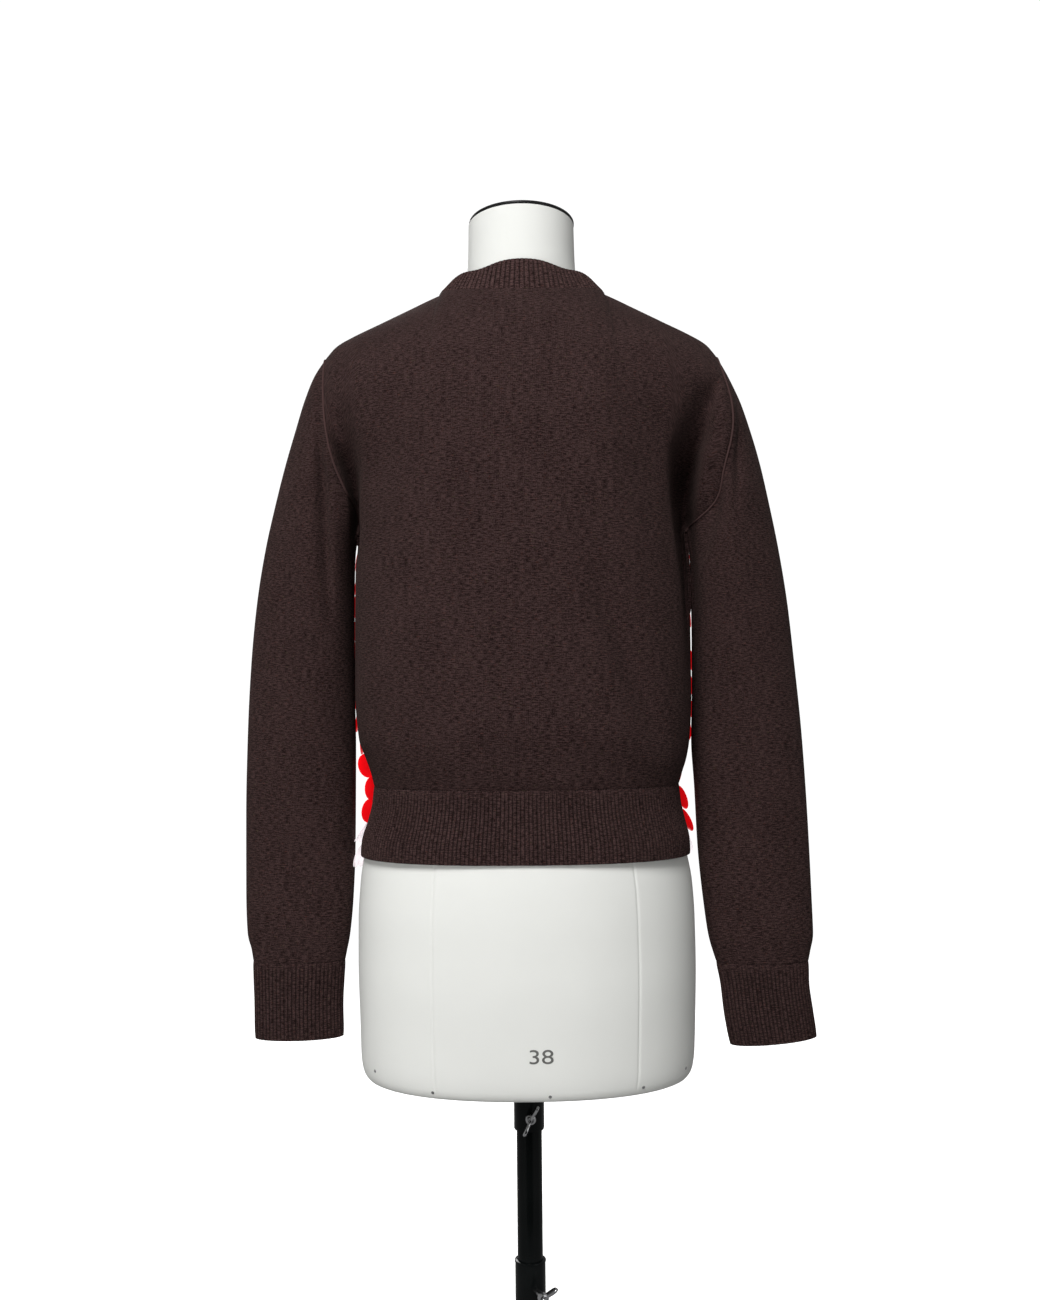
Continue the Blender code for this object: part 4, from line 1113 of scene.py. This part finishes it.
def front_surface(x, height):
    """The front's own grid above the underarm, at this X, or None outside it."""
    row = int(np.argmin(np.abs(front_grid[:, front_grid.shape[1] // 2, 2] - height)))
    line = front_grid[row]
    if abs(x) > np.abs(line[:, 0]).max() - TOP_MARGIN or row > len(front_grid) - 12:
        return None
    at = int(np.argmin(np.abs(line[:, 0] - x)))
    return line[at], front_normal[row, at]


front_grid = panel_grid(-1)
front_normal = panel_normals(front_grid, -1)
disc_points, disc_faces = sequin()
groups = {"red": ([], []), "pale": ([], [])}
threads = []
front_turns = np.linspace(90, 270, 181)
for row in range(SEQUIN_ROWS):
    sew = LOWEST_ROW + ROW_PITCH * row
    width = ring(HEM if sew < HEM[-1][0] else BODY, min(sew, UNDERARM), front_turns)
    steps = np.concatenate([[0], np.cumsum(np.linalg.norm(np.diff(width, axis=0), axis=1))])
    first = LEFT_TUCK - LEFT_STAGGER * (row % 2) if row < LEFT_ROWS else SIDE_MARGIN
    last = steps[-1] - RIGHT_TUCK.get(row, SIDE_MARGIN)
    count = int((last - first) // SEQUIN_PITCH) + row % 2
    for at in np.linspace(first, last, count + 1):
        turn = float(np.interp(at, steps, front_turns))
        height = sew - ROW_SLANT * (turn - 90) / 180 + float(chance.normal(0, HEIGHT_SCATTER))
        if height <= UNDERARM:
            place, out = front_point(turn, height)
        else:
            x = width[np.argmin(np.abs(steps - at))][0]
            spot = front_surface(x, height)
            if spot is None:
                continue
            place, out = spot
        down = unit(np.array([0.0, 0.0, -1.0]) + out * out[2])
        aside = np.cross(down, out)
        swing = math.radians(float(chance.normal(0, ANGLE_SCATTER)))
        tilt = math.radians(TILT + float(chance.normal(0, TILT_SCATTER)))
        yaw = math.radians(float(chance.normal(0, ANGLE_SCATTER)))
        if row < LEFT_ROWS:
            flare = FLARE_LEFT if row >= PALE_ROWS else FLARE_PALE
            yaw += math.radians(flare) * max(0.0, 1 - (turn - 90) / FLARE_TURN)
        if row in RIGHT_TUCK:
            yaw -= math.radians(FLARE_RIGHT) * max(0.0, 1 - (270 - turn) / FLARE_TURN)
        y_axis = -(down * math.cos(swing) + aside * math.sin(swing))
        x_axis = np.cross(y_axis, out)
        y_axis = y_axis * math.cos(tilt) - out * math.sin(tilt)
        z_axis = np.cross(x_axis, y_axis)
        x_axis = x_axis * math.cos(yaw) + z_axis * math.sin(yaw)
        z_axis = np.cross(x_axis, y_axis)
        hole = place + out * HOLE_LIFT
        turned_points = disc_points @ np.array([x_axis, y_axis, z_axis]) + hole
        kind = "pale" if row < PALE_ROWS else "red"
        stack, drawn = groups[kind]
        drawn.append(disc_faces + sum(len(points) for points in stack))
        stack.append(turned_points)
        top = hole + unit(y_axis) * 3.4
        stitch = [place - out * 0.4, hole + z_axis * 0.5, top + out * 0.4, top - out * 1.8]
        threads.append(np.array(stitch))

red_sequins, pale_sequins = [
    mesh_from(f"{kind}_sequins", *(np.concatenate(part) for part in groups[kind]), plastic)
    for kind, plastic in (("red", red_disc), ("pale", pale_disc))
]
sequin_threads = joined(
    "sequin_threads", [tube("thread", path, 0.3, stitch_thread, sides=4) for path in threads]
)
print("sequins:", len(groups["red"][0]), "red and", len(groups["pale"][0]), "pale")

# %% [markdown]
# ## The dress form
# Cloth is stretched over a light moulded torso in vertical panels, whose seams show as faint
# lines. The form is a stack of rings like the sweater's. Its neck slants down to the front, and
# small tacks along the lower edge hold the cloth.

# %% The form's rings, from its flat bottom up over the shoulders to the neck
FORM = [
    (644.5, 152.0, 150.5, 103.0, 96.0),
    (646.5, 158.0, 156.8, 108.5, 100.5),
    (654.0, 162.8, 161.4, 112.4, 103.6),
    (668.0, 164.8, 163.4, 114.4, 105.4),
    (700.0, 165.6, 164.6, 116.6, 107.0),
    (755.0, 167.0, 165.8, 119.6, 108.6),
    (800.0, 166.8, 165.2, 119.8, 108.0),
    (835.0, 164.6, 163.0, 118.0, 106.2),
    (863.0, 160.6, 157.9, 114.9, 104.9),
    (896.0, 151.0, 150.4, 107.6, 100.0),
    (930.0, 141.0, 141.0, 100.0, 95.0),
    (970.0, 129.0, 128.0, 90.5, 90.5),
    (1010.0, 121.0, 120.0, 84.5, 89.5),
    (1060.0, 125.0, 124.0, 87.0, 97.0),
    (1110.0, 134.0, 133.0, 95.0, 113.0),
    (1160.0, 142.0, 141.0, 102.0, 128.0),
    (1190.0, 145.5, 144.0, 105.0, 130.0),
    (1235.0, 150.0, 148.0, 107.0, 124.0),
    (1285.0, 157.0, 155.0, 106.0, 108.0),
    (1325.0, 167.0, 165.0, 100.0, 92.0),
    (1346.0, 171.0, 169.0, 93.0, 84.0),
    (1360.0, 167.0, 165.0, 86.0, 79.0),
    (1373.0, 149.0, 147.0, 76.0, 71.0),
    (1387.0, 119.0, 118.0, 67.0, 63.0),
    (1400.0, 89.0, 89.0, 60.5, 58.5),
    (1414.0, 66.5, 66.5, 57.0, 57.0),
    (1430.0, 56.5, 56.5, 54.0, 55.0),
    (1450.0, 54.2, 53.6, 53.0, 53.5),
    (1489.6, 53.2, 52.6, 52.6, 52.9),
]
FORM_BOTTOM = FORM[0][0]
NECK_CAP_RADIUS = 53.0
NECK_CAP_TOP = 1493.2
NECK_TILT = 0.12
SEAM_TURNS = (29.5, 90.0, 146.0, 214.0, 270.0, 324.2)
SEAM_DEPTH, SEAM_WIDTH = 0.7, 0.45


def form_point(height, turn):
    roundness = 2.0 + (FORM_ROUNDNESS - 2.0) * np.clip((1420 - height) / 40, 0, 1)
    points = ring(FORM, height, turn, roundness)
    points[..., 2] += points[..., 1] * NECK_TILT * np.clip((height - 1440) / 49.6, 0, 1)
    return points


def form_cover_mesh():
    fine = np.linspace(0, 360, 145)[:-1]
    beside = np.array([-1.2, -0.7, -0.35, 0.0, 0.35, 0.7, 1.2])
    turn = np.unique(np.concatenate([fine] + [t + beside for t in SEAM_TURNS]))
    edge = FORM_BOTTOM + np.array([0.0, 0.5, 1.2, 2.2, 4.0, 6.5])
    heights = np.concatenate([edge, np.arange(655.0, 1489.0, 7.0), [1489.6]])
    rows = []
    for height in heights:
        points = form_point(height, turn)
        out = unit(points * (1, 1, 0))
        away = np.min([np.abs(turn - t) for t in SEAM_TURNS], axis=0)
        fade = np.clip((height - 650) / 10, 0, 1) * np.clip((1440 - height) / 40, 0, 1)
        groove = SEAM_DEPTH * fade * np.exp(-((away / SEAM_WIDTH) ** 2))
        rows.append(points - out * groove[:, None])
    rows = [rows[0] * (share, share, 1.0) for share in (0.06, 0.25, 0.55, 0.8, 0.93)] + rows
    grid = np.array(rows)
    places = cloth_places(grid, True)
    columns = len(turn)
    index = np.arange(grid.shape[0] * columns).reshape(-1, columns)
    wrap = np.concatenate([index, index[:, :1]], axis=1)
    faces, maps = [], []
    for i in range(len(grid) - 1):
        for j in range(columns):
            faces.append((wrap[i, j], wrap[i, j + 1], wrap[i + 1, j + 1], wrap[i + 1, j]))
            maps.append([places[i, j], places[i, j + 1], places[i + 1, j + 1], places[i + 1, j]])
    ends = [index[0][::-1].tolist(), index[-1].tolist()]
    return mesh_from("form_cover", grid.reshape(-1, 3), faces, cover_cloth, maps, ends)


form_cover = form_cover_mesh()
print("form cover:", len(form_cover.data.polygons), "faces")

# %% [markdown]
# ## Turned parts
# The neck's black edge and the whole stand are round, as if made on a lathe. Blender's Screw
# modifier could spin them, but a few lines of sums place every point by name and let the neck
# edge tilt with the form's slanting neck.

# %% A profile spun about Z, and the neck's black edge

def turned(name, profile, finish, sides=96, hollow=False, tilt=0.0):
    """A solid from (radius, height) points spun about Z. A hollow one's profile is a loop."""
    angle = np.arange(sides) * 2 * np.pi / sides
    rings = []
    for radius, height in profile:
        x, y = radius * np.cos(angle), radius * np.sin(angle)
        rings.append(np.stack([x, y, height + y * tilt], axis=-1))
    points = np.array(rings).reshape(-1, 3)
    faces = []
    count = len(profile)
    for i in range(count if hollow else count - 1):
        j = (i + 1) % count
        for k in range(sides):
            m = (k + 1) % sides
            faces.append((i * sides + k, i * sides + m, j * sides + m, j * sides + k))
    ends = [list(range(sides))[::-1], [(count - 1) * sides + k for k in range(sides)]]
    return mesh_from(name, points, faces, finish, caps=[] if hollow else ends, sharp=35.0)


cap_low = FORM[-1][0] + 0.1
neck_edge = turned(
    "neck_edge",
    [
        (NECK_CAP_RADIUS - 0.9, cap_low),
        (NECK_CAP_RADIUS - 0.2, cap_low + 0.3),
        (NECK_CAP_RADIUS + 0.1, cap_low + 1.2),
        (NECK_CAP_RADIUS + 0.1, NECK_CAP_TOP - 1.0),
        (NECK_CAP_RADIUS - 0.3, NECK_CAP_TOP - 0.3),
        (NECK_CAP_RADIUS - 1.2, NECK_CAP_TOP),
        (NECK_CAP_RADIUS - 14.0, NECK_CAP_TOP + 0.1),
        (8.0, NECK_CAP_TOP + 0.2),
    ],
    black_edge,
    tilt=NECK_TILT,
)
print("neck edge:", len(neck_edge.data.polygons), "faces")

# %% [markdown]
# ## Tacks and a size number
# The cloth is held by small round-headed tacks along the lower edge, each turned to face the
# way the form faces there. Forms are stamped with a plain size number. A text curve gives its
# outline, and its points are laid on the curved back, a quarter of a millimetre proud.

# %% Tacks along the lower edge, and a plain size number
TACKS = [(-19.0, 7.0), (89.0, 8.0), (-106.0, 9.0), (146.0, 18.0), (-150.0, 16.0)]
NUMBER_PLACE = (-11.0, 682.5)
NUMBER_HEIGHT = 12.9
NUMBER_STRETCH = 1.3
INK_HEIGHT = 0.25


def back_surface(x, height):
    """The form's back at this X, and the way it faces."""
    turn = np.linspace(-89.0, 89.0, 1781)
    line = form_point(height, turn)
    at = int(np.argmin(np.abs(line[:, 0] - x)))
    up_one = form_point(height + 1.0, turn[at : at + 1])[0]
    out = unit(np.cross(up_one - line[at], line[at + 1] - line[at - 1]))
    return line[at], out if out[1] > 0 else -out


tacks = []
for x, rise in TACKS:
    spot, out = back_surface(x, FORM_BOTTOM + rise)
    tack = turned("tack", [(1.6, -0.4), (1.6, 0.1), (1.2, 0.5), (0.5, 0.75)], screw_metal, 16)
    spin = Vector(out).to_track_quat("Z", "Y").to_matrix().to_4x4()
    tack.data.transform(Matrix.Translation(Vector(spot) * MM) @ spin)
    tacks.append(tack)
form_tacks = joined("form_tacks", tacks)

letters = bpy.data.curves.new("size_number", "FONT")
letters.body = "38"
letters.size = 1.0
letters.align_x = "CENTER"
writing = bpy.data.objects.new("writing", letters)
bpy.context.scene.collection.objects.link(writing)
bpy.context.view_layer.update()
flat_mesh = bpy.data.meshes.new_from_object(writing)
bpy.data.objects.remove(writing, do_unlink=True)
shape = bmesh.new()
shape.from_mesh(flat_mesh)
bmesh.ops.triangulate(shape, faces=shape.faces)
bmesh.ops.subdivide_edges(shape, edges=shape.edges, cuts=1)
tall = max(v.co.y for v in shape.verts)
for v in shape.verts:
    x = NUMBER_PLACE[0] - v.co.x / tall * NUMBER_HEIGHT * NUMBER_STRETCH
    height = NUMBER_PLACE[1] + v.co.y / tall * NUMBER_HEIGHT
    spot, out = back_surface(x, height)
    v.co = Vector((x, spot[1] + INK_HEIGHT, height)) * MM
number_mesh = bpy.data.meshes.new("size_number")
shape.to_mesh(number_mesh)
shape.free()
number_mesh.materials.append(grey_ink)
size_number = bpy.data.objects.new("size_number", number_mesh)
bpy.context.scene.collection.objects.link(size_number)
print("tacks:", len(TACKS), "and a number", NUMBER_HEIGHT, "mm tall")

# %% [markdown]
# ## The stand
# A black pole slides in a wider tube and is held by a wing screw. A second wing screw holds the
# form's socket on the pole. Turned parts are spun from profiles with small rounded edges, which
# is where glossy paint catches the light.

# %% Base, tubes and pole
BASE_RADIUS = 200.0
BASE_THICKNESS = 8.0
BASE_EDGE = 2.0
HUB_TOP = 34.0
TUBE_SEAT = 12.0
TUBE_RADIUS = 15.0
TUBE_BORE = 12.9
TUBE_TOP = 462.0
TUBE_RIM = 0.5
POLE_RADIUS = 12.5
POLE_BOTTOM = 165.0
POLE_TOP = 637.0
SOCKET_BOTTOM = 589.0
SOCKET_ROOF = 637.3
SCREW_SHAFT_RADIUS = 2.9
SCREW_HUB_RADIUS = 5.0
SCREW_HUB_LENGTH = 7.0
WING_HALF = 1.3 * MM
WING_BEVEL = 0.7 * MM
UPPER_SCREW = dict(height=604.0, bearing=4.0, lean=-27.0, standoff=2.5)
LOWER_SCREW = dict(height=437.0, bearing=20.0, lean=-50.0, standoff=17.0)


def soft_edges(profile, size=0.6):
    """Rounds the corners of an open profile with two short steps each."""
    soft = [profile[0]]
    for before, here, after in zip(profile, profile[1:], profile[2:]):
        before, here, after = (np.array(p, float) for p in (before, here, after))
        into, out = before - here, after - here
        cut = min(size, np.linalg.norm(into) / 3, np.linalg.norm(out) / 3)
        first, last = here + unit(into) * cut, here + unit(out) * cut
        soft += [tuple(first), tuple((first + last) / 4 + here / 2), tuple(last)]
    return soft + [profile[-1]]


stand_base = turned(
    "stand_base",
    soft_edges(
        [
            (TUBE_RADIUS + 0.3, TUBE_SEAT),
            (TUBE_RADIUS + 0.3, HUB_TOP),
            (21.0, HUB_TOP),
            (23.0, HUB_TOP - 2.0),
            (27.0, BASE_THICKNESS + 5.0),
            (36.0, BASE_THICKNESS + 1.0),
            (BASE_RADIUS - BASE_EDGE, BASE_THICKNESS),
            (BASE_RADIUS, BASE_THICKNESS - BASE_EDGE),
            (BASE_RADIUS, BASE_EDGE),
            (BASE_RADIUS - BASE_EDGE, 0.0),
        ],
        0.8,
    ),
    black_metal,
    128,
)
stand_tube = turned(
    "stand_tube",
    [
        (TUBE_BORE, TUBE_SEAT + 0.3),
        (TUBE_RADIUS, TUBE_SEAT + 0.3),
        (TUBE_RADIUS, TUBE_TOP - 2.0),
        (TUBE_RADIUS + TUBE_RIM, TUBE_TOP - 1.7),
        (TUBE_RADIUS + TUBE_RIM, TUBE_TOP - 0.9),
        (TUBE_RADIUS + TUBE_RIM - 0.3, TUBE_TOP - 0.3),
        (TUBE_RADIUS + TUBE_RIM - 0.9, TUBE_TOP),
        (TUBE_BORE, TUBE_TOP),
    ],
    black_metal,
    hollow=True,
)
stand_pole = turned(
    "stand_pole",
    soft_edges(
        [
            (2.0, POLE_BOTTOM),
            (POLE_RADIUS, POLE_BOTTOM),
            (POLE_RADIUS, POLE_TOP),
            (2.0, POLE_TOP),
        ],
        0.9,
    ),
    black_metal,
)
stand_socket = turned(
    "stand_socket",
    [
        (TUBE_RADIUS, FORM_BOTTOM - 0.3),
        (TUBE_RADIUS, SOCKET_BOTTOM + 1.6),
        (TUBE_RADIUS - 0.4, SOCKET_BOTTOM + 0.5),
        (TUBE_RADIUS - 1.5, SOCKET_BOTTOM),
        (POLE_RADIUS + 0.4, SOCKET_BOTTOM),
        (POLE_RADIUS + 0.4, SOCKET_ROOF),
        (1.0, SOCKET_ROOF),
        (1.0, FORM_BOTTOM - 0.3),
    ],
    black_metal,
    hollow=True,
)
print("stand parts:", [thing.name for thing in (stand_base, stand_tube, stand_pole, stand_socket)])

# %% [markdown]
# ## Wing screws
# A wing screw is a turned hub with two flat stamped ears. The ears are one outline, mirrored
# and thickened, with rounded rims that catch the light. Each screw is built along its own axis
# and then set into the pole at its bearing, with its ears leaning as they were left.

# %% Wing screws
WING_OUTLINE = [
    (0.8, 0.0),
    (1.0, 3.6),
    (2.6, 8.0),
    (4.4, 12.0),
    (6.4, 14.8),
    (8.4, 15.9),
    (10.2, 15.9),
    (11.6, 14.6),
    (12.0, 12.4),
    (11.2, 9.4),
    (9.4, 6.2),
    (7.6, 3.2),
    (6.9, 0.0),
]


def place_on_pole(screw):
    """Where a screw sits: out of the pole at its bearing, turned by its lean."""
    angle = math.radians(90 + screw["bearing"])
    out = Vector((math.cos(angle), math.sin(angle), 0.0))
    turn = out.to_track_quat("Z", "Y").to_matrix().to_4x4()
    spin = Matrix.Rotation(math.radians(screw["lean"]), 4, "Z")
    return Matrix.Translation(Vector((0, 0, screw["height"] * MM))) @ turn @ spin


def wing_screw(name, screw):
    seat = TUBE_RADIUS + screw["standoff"]
    profile = [
        (1.5, POLE_RADIUS + 0.3),
        (SCREW_SHAFT_RADIUS, POLE_RADIUS + 0.9),
        (SCREW_SHAFT_RADIUS, seat),
        (SCREW_HUB_RADIUS - 0.5, seat),
        (SCREW_HUB_RADIUS, seat + 0.5),
        (SCREW_HUB_RADIUS, seat + SCREW_HUB_LENGTH - 1.6),
        (SCREW_HUB_RADIUS - 0.7, seat + SCREW_HUB_LENGTH - 0.5),
        (SCREW_HUB_RADIUS - 2.0, seat + SCREW_HUB_LENGTH),
        (SCREW_HUB_RADIUS - 2.4, seat + SCREW_HUB_LENGTH - 0.8),
        (0.5, seat + SCREW_HUB_LENGTH - 0.9),
    ]
    hub = turned(name + "_hub", profile, screw_metal, 48)
    outline = WING_OUTLINE + [(out, -side) for out, side in WING_OUTLINE[-2:0:-1]]
    shape = bmesh.new()
    low = [shape.verts.new((-WING_HALF, side * MM, (seat + out) * MM)) for out, side in outline]
    high = [shape.verts.new((WING_HALF, side * MM, (seat + out) * MM)) for out, side in outline]
    shape.faces.new(low)
    shape.faces.new(high)
    for i in range(len(outline)):
        j = (i + 1) % len(outline)
        shape.faces.new((low[i], low[j], high[j], high[i]))
    bmesh.ops.recalc_face_normals(shape, faces=shape.faces)
    flat = [e for e in shape.edges if abs(e.verts[0].co.x - e.verts[1].co.x) < 1e-6]
    bmesh.ops.bevel(shape, geom=flat, offset=WING_BEVEL, segments=3, affect="EDGES", profile=0.6)
    mesh = bpy.data.meshes.new(name + "_wings")
    shape.to_mesh(mesh)
    shape.free()
    mesh.shade_smooth()
    mesh.set_sharp_from_angle(angle=math.radians(50))
    mesh.materials.append(screw_metal)
    wings = bpy.data.objects.new(name + "_wings", mesh)
    bpy.context.scene.collection.objects.link(wings)
    made = joined(name, [hub, wings])
    made.matrix_world = place_on_pole(screw)
    return made


form_wing_screw = wing_screw("form_wing_screw", UPPER_SCREW)
height_wing_screw = wing_screw("height_wing_screw", LOWER_SCREW)
print("wing screws at", UPPER_SCREW["height"], "and", LOWER_SCREW["height"], "mm")

# %% [markdown]
# ## The backdrop
# The white backdrop is a dome that only the eye sees: it throws no light, so it can't wash the
# wool out, and the pale floor lights nothing either. A studio is dark behind the camera. A dark
# card stands there, which only gloss sees, so the painted pole stays black between its bright
# edges.

# %% A pale floor, a white dome and a dark card behind the camera
FLOOR_RADIUS = 9000.0
FLOOR_TOP, FLOOR_UNDER = -0.2, -3.0
CARD_NEAR, CARD_FAR = 3400.0, 3420.0
CARD_CORNERS = ((-1900, -400), (1900, -400), (1900, 3200), (-1900, 3200))
floor_finish = Finish("floor", Roughness=0.9, Specular_IOR_Level=0.1)
floor_cloud = floor_finish.noise(floor_finish.spot(), 1.5, 2.0)
floor_white = floor_finish.mix(floor_cloud, (0.93, 0.93, 0.93), (0.95, 0.95, 0.95))
floor_finish.feed(Base_Color=floor_white)
floor_finish.feed(Emission_Color=(1.0, 1.0, 1.0), Emission_Strength=0.80)
floor_profile = [(1.0, FLOOR_TOP), (FLOOR_RADIUS, FLOOR_TOP)]
floor_profile += [(FLOOR_RADIUS, FLOOR_UNDER), (1.0, FLOOR_UNDER)]
floor = turned("floor", floor_profile, floor_finish.material)
floor.visible_diffuse = floor.visible_glossy = False
card_finish = Finish("dark_card", Roughness=1.0, Base_Color=(0.0, 0.0, 0.0), Specular_IOR_Level=0.0)
card_points = [(x, y, z) for y in (CARD_NEAR, CARD_FAR) for x, z in CARD_CORNERS]
card_faces = [(0, 1, 2, 3), (7, 6, 5, 4), (0, 4, 5, 1), (1, 5, 6, 2), (2, 6, 7, 3), (3, 7, 4, 0)]
dark_card = mesh_from("dark_card", card_points, card_faces, card_finish.material)
dark_card.visible_camera = dark_card.visible_diffuse = dark_card.visible_shadow = False
dome_finish = Finish("dome", Roughness=1.0, Base_Color=(0.0, 0.0, 0.0), Specular_IOR_Level=0.0)
dome_finish.feed(Emission_Color=(1.0, 1.0, 1.0), Emission_Strength=1.05)
rise = np.radians(np.linspace(-4, 90, 24))[:-1]
dome = turned(
    "dome",
    [(FLOOR_RADIUS * math.cos(a), FLOOR_RADIUS * math.sin(a)) for a in rise],
    dome_finish.material,
)
dome.visible_diffuse = dome.visible_glossy = dome.visible_transmission = dome.visible_shadow = False
print("floor radius:", FLOOR_RADIUS / 1000, "m")

# %% [markdown]
# ## Fastening the pieces to the frame
# Every piece rides on the body that carries it and stands for its plain solid, so the stand can
# still slide and the form can still turn. The size each piece of cloth was knitted to is listed,
# and printed beside the area it has now.

# %% Ride and replace, and the cloth's knitted sizes
PIECES = [
    (back_knit, "form", "knit", ("back_panel",)),
    (front_knit, "form", "knit", ("front_panel",)),
    (left_sleeve_knit, "form", "knit", ("left_sleeve_upper", "left_sleeve_lower")),
    (right_sleeve_knit, "form", "knit", ("right_sleeve_upper", "right_sleeve_lower")),
    (hem_knit, "form", "rib_knit", ("hem_rib",)),
    (neck_knit, "form", "rib_knit", ("neck_rib",)),
    (left_cuff_knit, "form", "rib_knit", ("left_cuff",)),
    (right_cuff_knit, "form", "rib_knit", ("right_cuff",)),
    (seam_welts, "form", "knit", ()),
    (red_sequins, "form", "red_disc", ()),
    (pale_sequins, "form", "pale_disc", ()),
    (sequin_threads, "form", "knit", ()),
    (form_cover, "form", "form_cloth", ("dress_form",)),
    (neck_edge, "form", "black_edge", ("neck_cap",)),
    (form_tacks, "form", "screw_metal", ()),
    (size_number, "form", "black_edge", ()),
    (stand_base, "base", "black_metal", ("base_plate",)),
    (stand_tube, "base", "black_metal", ("lower_tube",)),
    (stand_pole, "pole", "black_metal", ("pole",)),
    (stand_socket, "form", "black_metal", ("socket",)),
    (form_wing_screw, "form_screw", "screw_metal", ("form_screw",)),
    (height_wing_screw, "height_screw", "screw_metal", ("height_screw",)),
]
for thing, body, slot_name, nodes in PIECES:
    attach(thing, body)
    if nodes:
        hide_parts(*nodes)

SHEETS = [
    (back_knit, (0.500, 0.500), 0.200),
    (front_knit, (0.500, 0.480), 0.200),
    (left_sleeve_knit, (0.380, 0.600), 0.160),
    (right_sleeve_knit, (0.380, 0.600), 0.160),
    (hem_knit, (0.880, 0.068), None),
    (neck_knit, (0.440, 0.030), None),
    (left_cuff_knit, (0.205, 0.077), None),
    (right_cuff_knit, (0.205, 0.077), None),
]
for thing, flat, area in SHEETS:
    print(thing.name, "cut", flat, "now", round(half_area(thing), 4), "m2")

# %% [markdown]
# ## The last measure
# The scene's triangles are counted and printed.

# %% Measure and finish
total = sum(len(p.vertices) - 2 for t, *_ in PIECES for p in t.data.polygons)
print("triangles:", total)
